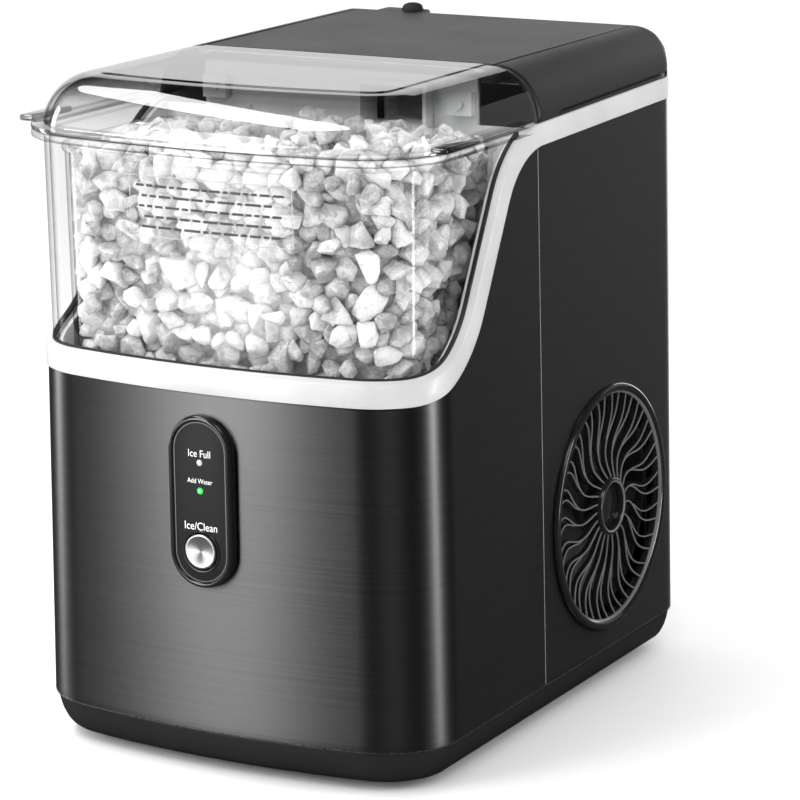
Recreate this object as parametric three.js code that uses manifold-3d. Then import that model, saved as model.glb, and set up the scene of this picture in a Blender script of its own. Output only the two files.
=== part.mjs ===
// A countertop nugget ice maker, in millimetres, +Z up, its front towards -Y.
// The origin is on the surface that it stands on, under the middle of its outer box.
// A compressor and a fan-cooled condenser chill a vertical barrel, an auger scrapes and lifts the ice,
// and a chute drops the nuggets into a clear basket behind a clear front window and a hinged clear lid.
import * as THREE from 'three';
import { mergeVertices } from 'three/addons/utils/BufferGeometryUtils.js';
import Module from 'manifold-3d';

const wasm = await Module();
wasm.setup();

// ---- Driving dimensions ----
const HALF_W = 113; // half of the body's width at DRAFT_Z
const DRAFT_Z = 227;
const SIDE_DRAFT = 2.96 / 200; // the sides lean outwards by this much for each unit of height downwards
const FRONT_Y = -153; // the bowed front's crown
const BACK_Y = 153;
const BOW_R = 473; // radius of the bowed front, in plan
const CORNER_R = 40; // front corners, in plan
const REAR_R = 15; // rear corners, in plan
const TOP_Z = 343;
const RIM_Z = 316; // the plane where the lid closes on the window
const SHOULDER = 26; // width of the rounded shoulder round the top
const METAL_Z = 23; // lower edge of the metal panels
const BASE_Z = 4; // underside of the base, above the feet
const BAND_W = 11.5; // height of the white trim band
const BAND_SLOPE = 0.02; // rise of the band towards the rear
const SEAM_Y = -12; // where the front wrap meets the side panels
const SHEET = 1.2; // thickness of the metal panels
const GAP = 0.3; // clearance between pieces that rest on each other
const FLANGE = 6; // overhang of the lid's and the window's rims
const FLANGE_END_Y = -28; // the rims stop here, ahead of the hinge
const HINGE_Y = -14;
const HINGE_Z = 339.7;
const BARREL_X = 35; // axis of the freezing barrel
const BARREL_Y = 20;
const FAN_Y = 65.5; // axis of the condenser fan and its grille
const FAN_Z = 99.8;
const GRILLE_R = 66;
const HOSE_X = -54; // the drain hose's upright run behind the rear panel
const HOSE_Y = 161;
const BOX_MIDDLE_Y = 4.5; // middle of the outer box, from the lid's rim to the hose clip

// The trim band's lower edge in side view: a low front run, an arc, a straight climb and an arc to the rear run.
const LOW_ARC = { y: -134.5, z: 265.7, r: 70 };
const HIGH_ARC = { y: -6, z: 259, r: 45 };

// ---- Materials ----
const finish = (color, roughness, metalness = 0, opacity = 1) =>
  new THREE.MeshStandardMaterial({ color, roughness, metalness, opacity, transparent: opacity < 1 });
const MATERIALS = {
  blackSteel: finish(0x2a2a2c, 0.35, 0.9),
  blackPlastic: finish(0x17171a, 0.45),
  whitePlastic: finish(0xeeeeee, 0.4),
  clear: finish(0xf2f6f8, 0.05, 0, 0.3),
  rubber: finish(0x0c0c0c, 0.85),
  steel: finish(0xb8bbc0, 0.3, 1),
  copper: finish(0xb87346, 0.35, 1),
  foam: finish(0x3a3a3c, 0.95),
  board: finish(0x1f5a38, 0.6),
  greenLens: finish(0x20e040, 0.3),
  paleLens: finish(0xc8c8c8, 0.4),
  gear: finish(0xe4dcc4, 0.5),
};

// ---- Solids ----
const model = new THREE.Group();
const bodyFrame = new THREE.Group(); // the body's own frame, centred on the body in plan
bodyFrame.position.y = -BOX_MIDDLE_Y;
model.add(bodyFrame);

function solid(geometry) {
  const loose = geometry.index ? geometry.toNonIndexed() : geometry;
  const bare = new THREE.BufferGeometry();
  bare.setAttribute('position', loose.getAttribute('position').clone());
  const merged = mergeVertices(bare, 1e-4);
  const mesh = new wasm.Mesh({
    numProp: 3,
    vertProperties: merged.attributes.position.array,
    triVerts: new Uint32Array(merged.index.array),
  });
  return new wasm.Manifold(mesh);
}

function join(first, ...others) {
  return others.reduce((whole, piece) => whole.add(piece), first);
}

function cut(first, ...others) {
  return others.reduce((whole, piece) => whole.subtract(piece), first);
}

function add(name, shape, material) {
  const made = shape.getMesh();
  const geometry = new THREE.BufferGeometry();
  geometry.setAttribute('position', new THREE.BufferAttribute(made.vertProperties, 3));
  geometry.setIndex(new THREE.BufferAttribute(made.triVerts, 1));
  geometry.computeVertexNormals();
  const mesh = new THREE.Mesh(geometry, material);
  mesh.name = name;
  bodyFrame.add(mesh);
  return mesh;
}

const point = (x, y) => new THREE.Vector2(x, y);

function extrude(points, depth) {
  return new THREE.ExtrudeGeometry(new THREE.Shape(points), { depth, bevelEnabled: false });
}

// A plan outline raised from z0 to z1.
function prism(points, z0, z1) {
  return solid(extrude(points, z1 - z0).translate(0, 0, z0));
}

// A side-view outline of (y, z) points, carried from x0 to x1.
function sidePrism(points, x0, x1) {
  const turned = new THREE.Matrix4().makeBasis(
    new THREE.Vector3(0, 1, 0),
    new THREE.Vector3(0, 0, 1),
    new THREE.Vector3(1, 0, 0),
  );
  return solid(extrude(points, x1 - x0).applyMatrix4(turned).translate(x0, 0, 0));
}

// A front-view outline of (x, z) points, carried from y0 to y1.
function frontPrism(points, y0, y1) {
  return solid(extrude(points, y1 - y0).rotateX(Math.PI / 2).translate(0, y1, 0));
}

function box(x0, x1, y0, y1, z0, z1) {
  const geometry = new THREE.BoxGeometry(x1 - x0, y1 - y0, z1 - z0);
  return solid(geometry.translate((x0 + x1) / 2, (y0 + y1) / 2, (z0 + z1) / 2));
}

// A cylinder along z, x or y, from one end's coordinate to the other's.
function rod(axis, radius, from, to, centre, sides = 24, topRadius = radius) {
  const geometry = new THREE.CylinderGeometry(topRadius, radius, to - from, sides);
  if (axis === 'z') {
    geometry.rotateX(Math.PI / 2).translate(centre[0], centre[1], (from + to) / 2);
  } else if (axis === 'x') {
    geometry.rotateZ(-Math.PI / 2).translate((from + to) / 2, centre[0], centre[1]);
  } else {
    geometry.translate(centre[0], (from + to) / 2, centre[1]);
  }
  return solid(geometry);
}

function pipe(axis, outer, inner, from, to, centre, sides = 24) {
  return cut(rod(axis, outer, from, to, centre, sides), rod(axis, inner, from - 1, to + 1, centre, sides));
}

// A round tube with closed ends along a smooth line through the points.
function tube(points, radius, steps, sides = 8) {
  const line = new THREE.CatmullRomCurve3(points.map((p) => new THREE.Vector3(...p)), false, 'centripetal');
  const section = new THREE.Shape().absarc(0, 0, radius, 0, 2 * Math.PI);
  const options = { steps, extrudePath: line, curveSegments: sides / 2, bevelEnabled: false };
  return solid(new THREE.ExtrudeGeometry(section, options));
}

// A closed skin over rings of equal length, each anticlockwise from above, from the lowest to the highest.
function loft(rings) {
  const count = rings[0].length;
  const vertices = rings.flat().flat();
  const faces = [];
  for (let k = 0; k + 1 < rings.length; k++) {
    for (let i = 0; i < count; i++) {
      const j = (i + 1) % count;
      const low = k * count;
      const high = low + count;
      faces.push(low + i, low + j, high + j, low + i, high + j, high + i);
    }
  }
  const capOf = (ring) => THREE.ShapeUtils.triangulateShape(ring.map((p) => point(p[0], p[1])), []);
  const last = (rings.length - 1) * count;
  capOf(rings[0]).forEach(([a, b, c]) => faces.push(c, b, a));
  capOf(rings[rings.length - 1]).forEach(([a, b, c]) => faces.push(last + a, last + b, last + c));
  const geometry = new THREE.BufferGeometry();
  geometry.setAttribute('position', new THREE.BufferAttribute(new Float32Array(vertices), 3));
  geometry.setIndex(faces);
  return solid(geometry);
}

// ---- Outlines ----
function arc(cx, cy, radius, from, to, steps) {
  return Array.from({ length: steps + 1 }, (_, i) => {
    const angle = from + ((to - from) * i) / steps;
    return point(cx + radius * Math.cos(angle), cy + radius * Math.sin(angle));
  });
}

// The body in plan, drawn in by inset: a bowed front, round front corners and smaller rear corners.
function outline(inset, backY = BACK_Y, rearR = REAR_R) {
  const bowY = FRONT_Y + BOW_R;
  const cornerX = HALF_W - CORNER_R;
  const cornerY = bowY - Math.sqrt((BOW_R - CORNER_R) ** 2 - cornerX ** 2);
  const lean = Math.asin(cornerX / (BOW_R - CORNER_R));
  const down = -Math.PI / 2;
  const rear = backY - rearR;
  const side = [
    ...arc(0, bowY, BOW_R - inset, down, down + lean, 4),
    ...arc(cornerX, cornerY, CORNER_R - inset, down + lean, 0, 8).slice(1),
    ...arc(HALF_W - rearR, rear, rearR - Math.min(inset, rearR - 1), 0, Math.PI / 2, 4),
  ];
  const overshoot = side[side.length - 1].y - (backY - inset);
  side.slice(-5).forEach((p) => (p.y -= overshoot));
  side.slice(-5).forEach((p) => (p.x += HALF_W - inset - side[side.length - 5].x));
  const mirrored = side.slice(1).reverse().map((p) => point(-p.x, p.y));
  return [...side, ...mirrored];
}

// An outline at its height, with the sides' draft.
function ring(points, z) {
  const stretch = 1 + (SIDE_DRAFT * (DRAFT_Z - z)) / HALF_W;
  return points.map((p) => [p.x * stretch, p.y, z]);
}

function column(points, z0, z1) {
  return loft([ring(points, z0), ring(points, z1)]);
}

function shell(outer, inner, z0, z1) {
  return cut(column(outline(outer), z0, z1), column(outline(inner), z0 - 1, z1 + 1));
}

// The trim band's edge, moved up by an offset square to it, as (y, z) points from the front to the rear.
function bandEdge(offset) {
  const dy = HIGH_ARC.y - LOW_ARC.y;
  const dz = HIGH_ARC.z - LOW_ARC.z;
  const climb = Math.asin((LOW_ARC.r + HIGH_ARC.r) / Math.hypot(dy, dz)) + Math.atan2(dz, dy);
  const low = LOW_ARC.r - offset;
  const high = HIGH_ARC.r + offset;
  const rearY = BACK_Y + 20;
  const rearZ = HIGH_ARC.z + high + BAND_SLOPE * (rearY - HIGH_ARC.y);
  return [
    point(FRONT_Y - 20, LOW_ARC.z - low),
    ...arc(LOW_ARC.y, LOW_ARC.z, low, -Math.PI / 2, -Math.PI / 2 + climb, 8),
    ...arc(HIGH_ARC.y, HIGH_ARC.z, high, Math.PI / 2 + climb, Math.PI / 2, 7),
    point(rearY, rearZ),
  ];
}

function ribbon(low, high) {
  return sidePrism([...bandEdge(low), ...bandEdge(high).reverse()], -HALF_W - 20, HALF_W + 20);
}

function below(offset) {
  const floor = [point(BACK_Y + 20, -20), point(FRONT_Y - 20, -20)];
  return sidePrism([...bandEdge(offset), ...floor].reverse(), -HALF_W - 20, HALF_W + 20);
}

function pill(width, height, centreZ, steps = 12) {
  const r = width / 2;
  const straight = height / 2 - r;
  return [
    ...arc(0, centreZ + straight, r, 0, Math.PI, steps),
    ...arc(0, centreZ - straight, r, Math.PI, 2 * Math.PI, steps),
  ];
}

const WIDE = HALF_W + 30; // half-width of a cutter that passes everything

// ---- Housing ----
const FOOT_R = 10;

function addBase() {
  const levels = [
    { z: BASE_Z, inset: 16 },
    { z: 5.2, inset: 10.5 },
    { z: 8, inset: 6.2 },
    { z: 12, inset: 3.2 },
    { z: 17, inset: 1.6 },
    { z: METAL_Z - GAP, inset: 1 },
  ];
  const outer = loft(levels.map(({ z, inset }) => ring(outline(inset), z)));
  add('base_tray', cut(outer, column(outline(9), 8, METAL_Z + 5)), MATERIALS.blackPlastic);
  const places = { front_left: [-74, -112], front_right: [74, -112], rear_left: [-80, 122], rear_right: [80, 122] };
  for (const [place, centre] of Object.entries(places)) {
    const foot = rod('z', FOOT_R - 1.5, 0, BASE_Z - GAP, centre, 20, FOOT_R);
    add(`foot_${place}`, foot, MATERIALS.rubber);
  }
}

const PILL = { width: 36, height: 87.5, z: 142 };
const LEFT_VENT = { slots: 9, pitch: 9, width: 3, y: 42, z0: 60, z1: 132 };

function addPanels() {
  const sheet = shell(0, SHEET, METAL_Z, TOP_Z).intersect(below(-GAP));
  const pillHole = frontPrism(pill(PILL.width - 3, PILL.height - 3, PILL.z), FRONT_Y - 5, FRONT_Y + 10);
  const ahead = box(-WIDE, WIDE, FRONT_Y - 20, SEAM_Y - GAP, 0, TOP_Z);
  add('front_wrap_panel', cut(sheet.intersect(ahead), pillHole), MATERIALS.blackSteel);

  const rightSide = box(96, WIDE, SEAM_Y + GAP, BACK_Y + 5, 0, TOP_Z);
  const fanHole = rod('x', GRILLE_R - 3.5, 100, WIDE, [FAN_Y, FAN_Z], 40);
  add('right_side_panel', cut(sheet.intersect(rightSide), fanHole), MATERIALS.blackSteel);

  const leftSide = box(-WIDE, -96, SEAM_Y + GAP, BACK_Y + 5, 0, TOP_Z);
  const slots = Array.from({ length: LEFT_VENT.slots }, (_, i) => {
    const y = LEFT_VENT.y + i * LEFT_VENT.pitch;
    return box(-WIDE, -100, y, y + LEFT_VENT.width, LEFT_VENT.z0, LEFT_VENT.z1);
  });
  add('left_side_panel', cut(sheet.intersect(leftSide), ...slots), MATERIALS.blackSteel);
}

const REAR_PLATE = { halfWidth: 95.5, y0: BACK_Y - 2.5, y1: BACK_Y, top: 306.6 };
const SCREWS = { lower_left: [-84, 34], lower_right: [84, 34], upper_left: [-84, 292], upper_right: [84, 292] };
const GLAND = [66, 46];
const DRAIN = [HOSE_X, 40];

function addRear() {
  const { halfWidth, y0, y1, top } = REAR_PLATE;
  const holes = Object.values(SCREWS).map((centre) => rod('y', 2, y0 - 1, y1 + 1, centre, 12));
  const vents = Array.from({ length: 7 }, (_, i) => box(-20, 60, y0 - 1, y1 + 1, 110 + i * 12, 114 + i * 12));
  const plate = box(-halfWidth, halfWidth, y0, y1, METAL_Z, top);
  const openings = [rod('y', 7.5, y0 - 1, y1 + 1, GLAND, 20), rod('y', 6, y0 - 1, y1 + 1, DRAIN, 20)];
  add('rear_panel', cut(plate, ...holes, ...vents, ...openings), MATERIALS.blackPlastic);
  for (const [place, centre] of Object.entries(SCREWS)) {
    const head = rod('y', 3.6, y1 + GAP, y1 + 2, centre, 14);
    const shank = rod('y', 1.6, y0 - 6, y1 + 1, centre, 10);
    const slot = box(centre[0] - 3, centre[0] + 3, y1 + 1.2, y1 + 4, centre[1] - 0.4, centre[1] + 0.4);
    add(`rear_screw_${place}`, cut(join(head, shank), slot), MATERIALS.steel);
  }
  const gland = join(rod('y', 7.2, y0 - 5, y1 + 1, GLAND, 20), rod('y', 10, y1 + GAP, y1 + 6, GLAND, 20));
  add('power_cord_gland', cut(gland, rod('y', 3.8, y0 - 6, y1 + 8, GLAND, 16)), MATERIALS.blackPlastic);
}

const LEDGE = 5; // the band's depth inwards, which carries the window

function addBand() {
  const depth = shell(-1, LEDGE, 150, TOP_Z);
  add('trim_band', depth.intersect(ribbon(0, BAND_W)), MATERIALS.whitePlastic);
  const sealDepth = shell(1.2, 4.6, 150, RIM_Z - GAP);
  const ahead = box(-WIDE, WIDE, FRONT_Y - 20, -15, 150, TOP_Z);
  const seal = sealDepth.intersect(ribbon(BAND_W + GAP, BAND_W + 1.8)).intersect(ahead);
  add('window_seal', seal, MATERIALS.rubber);
}

// A hood with round shoulders; thick is how far its surface lies inside the outer one.
function hood(thick, z0) {
  const steps = 6;
  const rise = TOP_Z - RIM_Z;
  const rings = Array.from({ length: steps + 1 }, (_, i) => {
    const angle = (Math.PI / 2) * (i / steps);
    const inset = thick + (SHOULDER - thick) * (1 - Math.cos(angle));
    return ring(outline(inset, BACK_Y + 60 + inset), RIM_Z + (rise - thick) * Math.sin(angle));
  });
  return loft([ring(outline(thick, BACK_Y + 60 + thick), z0), ...rings]);
}

const KNUCKLE_X = 84; // half-length of the lid's hinge barrel
const KNUCKLE_R = 3;
const EAR = { x0: 84.8, x1: 91.4, y0: -19, y1: 3 }; // the cover's ears, which hold the pins
const LID_THICK = 3;
const COVER_THICK = 2.5;
const LID_BACK_Y = -12.4;
const COVER_FRONT_Y = -11;

function knuckle(radius, x0, x1) {
  return rod('x', radius, x0, x1, [HINGE_Y, HINGE_Z], 16);
}

function addLid() {
  const skin = cut(hood(0, RIM_Z - 4), hood(LID_THICK, RIM_Z - 8));
  const ahead = box(-WIDE, WIDE, FRONT_Y - 20, LID_BACK_Y, RIM_Z + GAP, TOP_Z + 5);
  const slots = [-1, 1].map((s) => {
    const x = (s * (EAR.x0 + EAR.x1)) / 2;
    return box(x - 4, x + 4, EAR.y0 - 9, 5, HINGE_Z - 8, TOP_Z + 5);
  });
  const rim = shell(-FLANGE, 1, RIM_Z + GAP, RIM_Z + 3);
  const rimAhead = box(-WIDE, WIDE, FRONT_Y - 20, FLANGE_END_Y, RIM_Z, TOP_Z);
  const grips = [-1, 1].map((s) => {
    const x = s * (HALF_W + 4.2);
    return box(x - 4.5, x + 4.5, -126, -91, RIM_Z + 2, RIM_Z + 5);
  });
  const whole = join(cut(skin.intersect(ahead), ...slots), rim.intersect(rimAhead), ...grips,
    knuckle(KNUCKLE_R, -KNUCKLE_X, KNUCKLE_X));
  const pinHoles = [-1, 1].map((s) => knuckle(1.6, Math.min(s * 76, s * 90), Math.max(s * 76, s * 90)));
  add('lid', cut(whole, ...pinHoles), MATERIALS.clear);
}

function addWindow() {
  const wall = (inset) =>
    loft([ring(outline(inset + 3), RIM_Z - 120), ring(outline(inset + 0.3), RIM_Z - 3), ring(outline(inset), TOP_Z)]);
  const above = cut(box(-WIDE, WIDE, FRONT_Y - 20, FLANGE_END_Y, 150, RIM_Z - 1), below(BAND_W + 2.1));
  const glass = cut(wall(0), wall(2.5)).intersect(above);
  const rim = shell(-FLANGE, 1.8, RIM_Z - 3.2, RIM_Z - GAP);
  const rimAhead = box(-WIDE, WIDE, FRONT_Y - 20, FLANGE_END_Y, 150, TOP_Z);
  add('front_window', join(glass, rim.intersect(rimAhead)), MATERIALS.clear);
}

const CLIP = { x0: -74, x1: -46, y1: 168, z0: 334 };

function addCover() {
  const plan = column(outline(0), RIM_Z - 20, TOP_Z + 5);
  const innerPlan = column(outline(COVER_THICK), RIM_Z - 30, TOP_Z + 6);
  const outer = hood(0, RIM_Z - 15).intersect(plan);
  const inner = hood(COVER_THICK, RIM_Z - 25).intersect(innerPlan);
  const behind = cut(
    box(-WIDE, WIDE, COVER_FRONT_Y, BACK_Y + 20, RIM_Z - 10, TOP_Z + 5),
    box(-KNUCKLE_X - 0.6, KNUCKLE_X + 0.6, COVER_FRONT_Y - 1, HINGE_Y + 4.5, RIM_Z + 15, TOP_Z + 6),
  );
  const ears = [-1, 1].map((s) => {
    const x = (s * (EAR.x0 + EAR.x1)) / 2;
    const half = (EAR.x1 - EAR.x0) / 2;
    return box(x - half, x + half, EAR.y0, EAR.y1, HINGE_Z - 5, HINGE_Z + 2.6);
  });
  const clip = box(CLIP.x0, CLIP.x1, BACK_Y - 2, CLIP.y1, CLIP.z0, TOP_Z);
  const notch = rod('z', 6.3, CLIP.z0 - 5, TOP_Z + 5, [HOSE_X, HOSE_Y], 20);
  const whole = join(join(cut(outer, inner), clip).intersect(behind), ...ears);
  const pinHoles = [-1, 1].map((s) => knuckle(1.6, Math.min(s * 80, s * 92), Math.max(s * 80, s * 92)));
  const shaped = cut(whole, below(BAND_W + GAP), notch, ...pinHoles);
  add('rear_top_cover', shaped, MATERIALS.blackPlastic);
  [-1, 1].forEach((s) => {
    const pin = knuckle(1.25, Math.min(s * 78, s * 90.5), Math.max(s * 78, s * 90.5));
    add(`lid_hinge_pin_${s < 0 ? 'left' : 'right'}`, pin, MATERIALS.steel);
  });
}

// ---- Ice bin ----
const LINER = { floor: 190, back: -13.8, wall: 2.2 };
const CHUTE = { x0: 15, x1: 55, y0: -24, z0: 309, z1: 333 };

function addLiner() {
  const outer = column(outline(LEDGE + 0.4), LINER.floor, 313);
  const inner = column(outline(LEDGE + 0.4 + LINER.wall), LINER.floor + 2.5, 340);
  const ahead = box(-WIDE, WIDE, FRONT_Y - 20, LINER.back, 100, TOP_Z);
  const innerAhead = box(-WIDE, WIDE, FRONT_Y - 20, LINER.back - LINER.wall, 100, TOP_Z);
  const tub = cut(outer.intersect(ahead), inner.intersect(innerAhead)).intersect(below(BAND_W - 1));
  const wall = box(-80, 80, LINER.back - LINER.wall, LINER.back, 300, 336.5);
  const drop = column(outline(24, -36, 12), LINER.floor - 5, LINER.floor + 5);
  const mouth = box(CHUTE.x0 - GAP, CHUTE.x1 + GAP, -20, -10, CHUTE.z0 - GAP, CHUTE.z1 + GAP);
  add('bin_liner', cut(join(tub, wall), drop, mouth), MATERIALS.whitePlastic);
}

const BASKET = { floor: 194, top: 308, wall: 2, lift: 10 };

function addBasket() {
  const skin = (thick, z0, z1) =>
    loft([ring(outline(13.5 + thick, -16, 20), z0), ring(outline(10.4 + thick, -16, 20), z1)]);
  const rimOuter = column(outline(9, -16.6, 20), BASKET.top - 3, BASKET.top);
  const hollow = skin(BASKET.wall, BASKET.floor + BASKET.wall, BASKET.top + 1);
  const slots = [];
  for (let row = 0; row < 4; row++) {
    for (let column = 0; column < 5; column++) {
      const x = -72 + column * 32;
      const y = -128 + row * 22;
      slots.push(box(x, x + 16, y, y + 4, BASKET.floor - 2, BASKET.floor + 5));
    }
  }
  const whole = join(skin(0, BASKET.floor, BASKET.top), rimOuter);
  add('ice_basket', cut(whole, hollow, ...slots), MATERIALS.clear);
}

function addChute() {
  const { x0, x1, y0, z0, z1 } = CHUTE;
  const hollow = box(x0 + 2, x1 - 2, y0 - 5, 5, z0 + 2, z1 - 2);
  add('ice_chute', cut(box(x0, x1, y0, -6.4, z0, z1), hollow), MATERIALS.whitePlastic);
  [-1, 1].forEach((s) => {
    const x = s * 72;
    const sensor = box(x - 7, x + 7, -20.6, LINER.back - LINER.wall - GAP, 318, 330);
    const eye = rod('y', 2.5, -22, -19, [x, 324], 12);
    add(`ice_full_sensor_${s < 0 ? 'left' : 'right'}`, join(sensor, eye), MATERIALS.blackPlastic);
  });
}

// ---- Control panel ----
const FACE_Y = -156.8;
const BUTTON = { z: 117, r: 9, back: -151 };

function addControls() {
  const { width, height, z } = PILL;
  const front = FRONT_Y - 5;
  const flange = frontPrism(pill(width, height, z), front, FRONT_Y - GAP);
  const neck = frontPrism(pill(width - 3.6, height - 3.6, z), FRONT_Y - 1, FRONT_Y + 5);
  const opening = frontPrism(pill(width - 6, height - 6, z), front - 5, FRONT_Y + 10);
  add('control_bezel', cut(join(flange, neck), opening), MATERIALS.blackPlastic);
  const face = frontPrism(pill(width - 6.6, height - 6.6, z), FACE_Y, FRONT_Y - 0.5);
  const lights = { ice_full: 162, add_water: 147.8 };
  const lightHoles = Object.values(lights).map((lz) => rod('y', 1.9, FACE_Y - 2, FRONT_Y + 2, [0, lz], 12));
  const buttonHole = rod('y', BUTTON.r + 0.5, FACE_Y - 2, FRONT_Y + 2, [0, BUTTON.z], 24);
  add('control_face', cut(face, buttonHole, ...lightHoles), MATERIALS.blackPlastic);
  for (const [use, lz] of Object.entries(lights)) {
    const lens = rod('y', 1.6, FACE_Y - 0.4, -144.6, [0, lz], 12);
    add(`${use}_light_lens`, lens, use === 'add_water' ? MATERIALS.greenLens : MATERIALS.paleLens);
  }
  const cap = rod('y', BUTTON.r, FACE_Y - 1.6, BUTTON.back, [0, BUTTON.z], 24);
  const stem = rod('y', 3, BUTTON.back - 1, -147.4, [0, BUTTON.z], 12);
  add('power_button', join(cap, stem), MATERIALS.steel);
  add('button_switch', box(-3, 3, -145.6, -142.4, BUTTON.z - 3, BUTTON.z + 3), MATERIALS.blackPlastic);
  add('control_board', box(-17, 17, -142, -140.4, 98, 186), MATERIALS.board);
}

// ---- Water ----
const TANK = { x: 96, y0: -126, y1: -22, z0: 112, z1: 188, wall: 2 };
const FLOAT = [-70, -60];

function addWater() {
  const { x, y0, y1, z0, z1, wall } = TANK;
  const hollow = box(-x + wall, x - wall, y0 + wall, y1 - wall, z0 + wall, z1 + 5);
  add('water_tank', cut(box(-x, x, y0, y1, z0, z1), hollow), MATERIALS.whitePlastic);
  const collar = rod('z', 5, z0 + wall + GAP, z0 + wall + 3, FLOAT, 16);
  add('float_stem', join(collar, rod('z', 2.5, z0 + wall + 2, z1 - 8, FLOAT, 12)), MATERIALS.whitePlastic);
  add('water_float', pipe('z', 11, 3, z0 + 6, z0 + 22, FLOAT, 20), MATERIALS.paleLens);
  const pump = join(
    rod('z', 16, 62, 104, [-60, -70], 20),
    rod('x', 5, -60, -42, [-70, 80], 12),
    box(-78, -42, -88, -52, 54, 62),
  );
  add('water_pump', pump, MATERIALS.blackPlastic);
  const hose = [[-41.4, -70, 80], [-36, -70, 80], [-28, -66, 84], [-18, -45, 97], [-12, -10, 101], [-4, 20, 102], [8.5, BARREL_Y, 102]];
  add('water_feed_tube', tube(hose, 3, 20), MATERIALS.clear);
}

// ---- Freezing barrel, auger and drive ----
const AUGER = { core: 9, edge: 20, z0: 100, z1: 258, turns: 4, blade: 3 };
const GEAR = { module: 1.65, wheelTeeth: 30, pinionTeeth: 10, z0: 70, z1: 80, pressure: (25 * Math.PI) / 180 };
const PINION_X = BARREL_X - (GEAR.module * (GEAR.wheelTeeth + GEAR.pinionTeeth)) / 2;

// A helical blade round the core, as one closed strip of rectangular section.
function flight() {
  const { core, edge, z0, z1, turns, blade } = AUGER;
  const steps = turns * 16;
  const vertices = [];
  for (let i = 0; i <= steps; i++) {
    const angle = (2 * Math.PI * turns * i) / steps;
    const z = z0 + ((z1 - z0 - blade) * i) / steps;
    for (const [r, dz] of [[core - 2, 0], [edge, 0], [edge, blade], [core - 2, blade]]) {
      vertices.push(BARREL_X + r * Math.cos(angle), BARREL_Y + r * Math.sin(angle), z + dz);
    }
  }
  const faces = [0, 1, 2, 0, 2, 3];
  for (let i = 0; i < steps; i++) {
    for (let k = 0; k < 4; k++) {
      const a = i * 4 + k;
      const b = i * 4 + ((k + 1) % 4);
      faces.push(a, a + 4, b + 4, a, b + 4, b);
    }
  }
  const end = steps * 4;
  faces.push(end, end + 2, end + 1, end, end + 3, end + 2);
  const geometry = new THREE.BufferGeometry();
  geometry.setAttribute('position', new THREE.BufferAttribute(new Float32Array(vertices), 3));
  geometry.setIndex(faces);
  const made = solid(geometry);
  return made.volume() > 0 ? made : solid(geometry.setIndex([...faces].reverse()));
}

// An involute spur gear's outline about a centre; phase turns it by a share of one tooth.
function gearOutline(teeth, cx, cy, phase) {
  const { module, pressure } = GEAR;
  const backlash = 0.25;
  const pitchR = (module * teeth) / 2;
  const baseR = pitchR * Math.cos(pressure);
  const tipR = pitchR + module * 0.9;
  const rootR = pitchR - module * 1.25;
  const involute = (r) => {
    const turn = Math.acos(Math.min(1, baseR / r));
    return Math.tan(turn) - turn;
  };
  const halfTooth = (Math.PI * module) / 2 / 2 / pitchR - backlash / 2 / pitchR;
  const halfAt = (r) => halfTooth + involute(pitchR) - involute(Math.max(r, baseR));
  const radii = [rootR, Math.max(baseR, rootR) + 0.15, pitchR, tipR];
  const points = [];
  for (let i = 0; i < teeth; i++) {
    const middle = (2 * Math.PI * (i + phase)) / teeth;
    radii.forEach((r) => points.push([r, middle - halfAt(r)]));
    [...radii].reverse().forEach((r) => points.push([r, middle + halfAt(r)]));
  }
  return points.map(([r, a]) => point(cx + r * Math.cos(a), cy + r * Math.sin(a)));
}

function addDrive() {
  const centre = [BARREL_X, BARREL_Y];
  const pinionCentre = [PINION_X, BARREL_Y];
  const wheel = prism(gearOutline(GEAR.wheelTeeth, BARREL_X, BARREL_Y, 0), GEAR.z0, GEAR.z1);
  const hub = rod('z', 11, GEAR.z1 - 1, GEAR.z1 + 4, centre, 20);
  add('auger_drive_gear', cut(join(wheel, hub), rod('z', 6.3, 60, 100, centre, 16)), MATERIALS.gear);
  const pinion = prism(gearOutline(GEAR.pinionTeeth, PINION_X, BARREL_Y, 0.5), GEAR.z0 - 1, GEAR.z1 + 1);
  add('motor_pinion', cut(pinion, rod('z', 3.3, 60, 90, pinionCentre, 12)), MATERIALS.gear);

  const { core, z0, z1 } = AUGER;
  const shaft = rod('z', 6, 66.5, z0 - 5, centre, 16);
  add('auger', join(rod('z', core, z0 - 6, z1, centre, 20), shaft, flight()), MATERIALS.steel);

  const housing = cut(
    box(-14, 65.5, -10.5, 50.5, 62, 88),
    box(-11, 63, -8, 48, 64.5, 95),
    rod('z', 3.5, 55, 70, pinionCentre, 16),
  );
  add('gearbox_housing', housing, MATERIALS.blackPlastic);
  const lid = cut(box(-14, 65.5, -10.5, 50.5, 88.3, 91), rod('z', 6.4, 80, 100, centre, 20));
  add('gearbox_cover', lid, MATERIALS.steel);
  const motor = join(rod('z', 20, 12, 61.7, pinionCentre, 24), rod('z', 3, 60, 82, pinionCentre, 12));
  const plug = box(PINION_X - 28, PINION_X - 15, BARREL_Y - 6, BARREL_Y + 6, 20, 34);
  add('auger_motor', join(motor, plug), MATERIALS.steel);

  const barrel = cut(
    join(rod('z', 26, 92, 262, centre, 28), rod('z', 30, 92, 97, centre, 28)),
    rod('z', 20.8, 99, 263, centre, 28),
    rod('z', 9.4, 90, 100, centre, 20),
  );
  add('freezing_barrel', barrel, MATERIALS.steel);
  add('barrel_insulation', pipe('z', 33.4, 26.4, 108, 250, centre, 24), MATERIALS.foam);
  const head = cut(
    rod('z', 25, 262.4, 334.5, centre, 24),
    rod('z', 18, 262, 331, centre, 24),
    box(19, 51, -10, BARREL_Y, 311, 331),
  );
  add('ice_outlet_head', head, MATERIALS.whitePlastic);
}

// ---- Refrigeration ----
const COMPRESSOR = [-52, 84];

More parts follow.
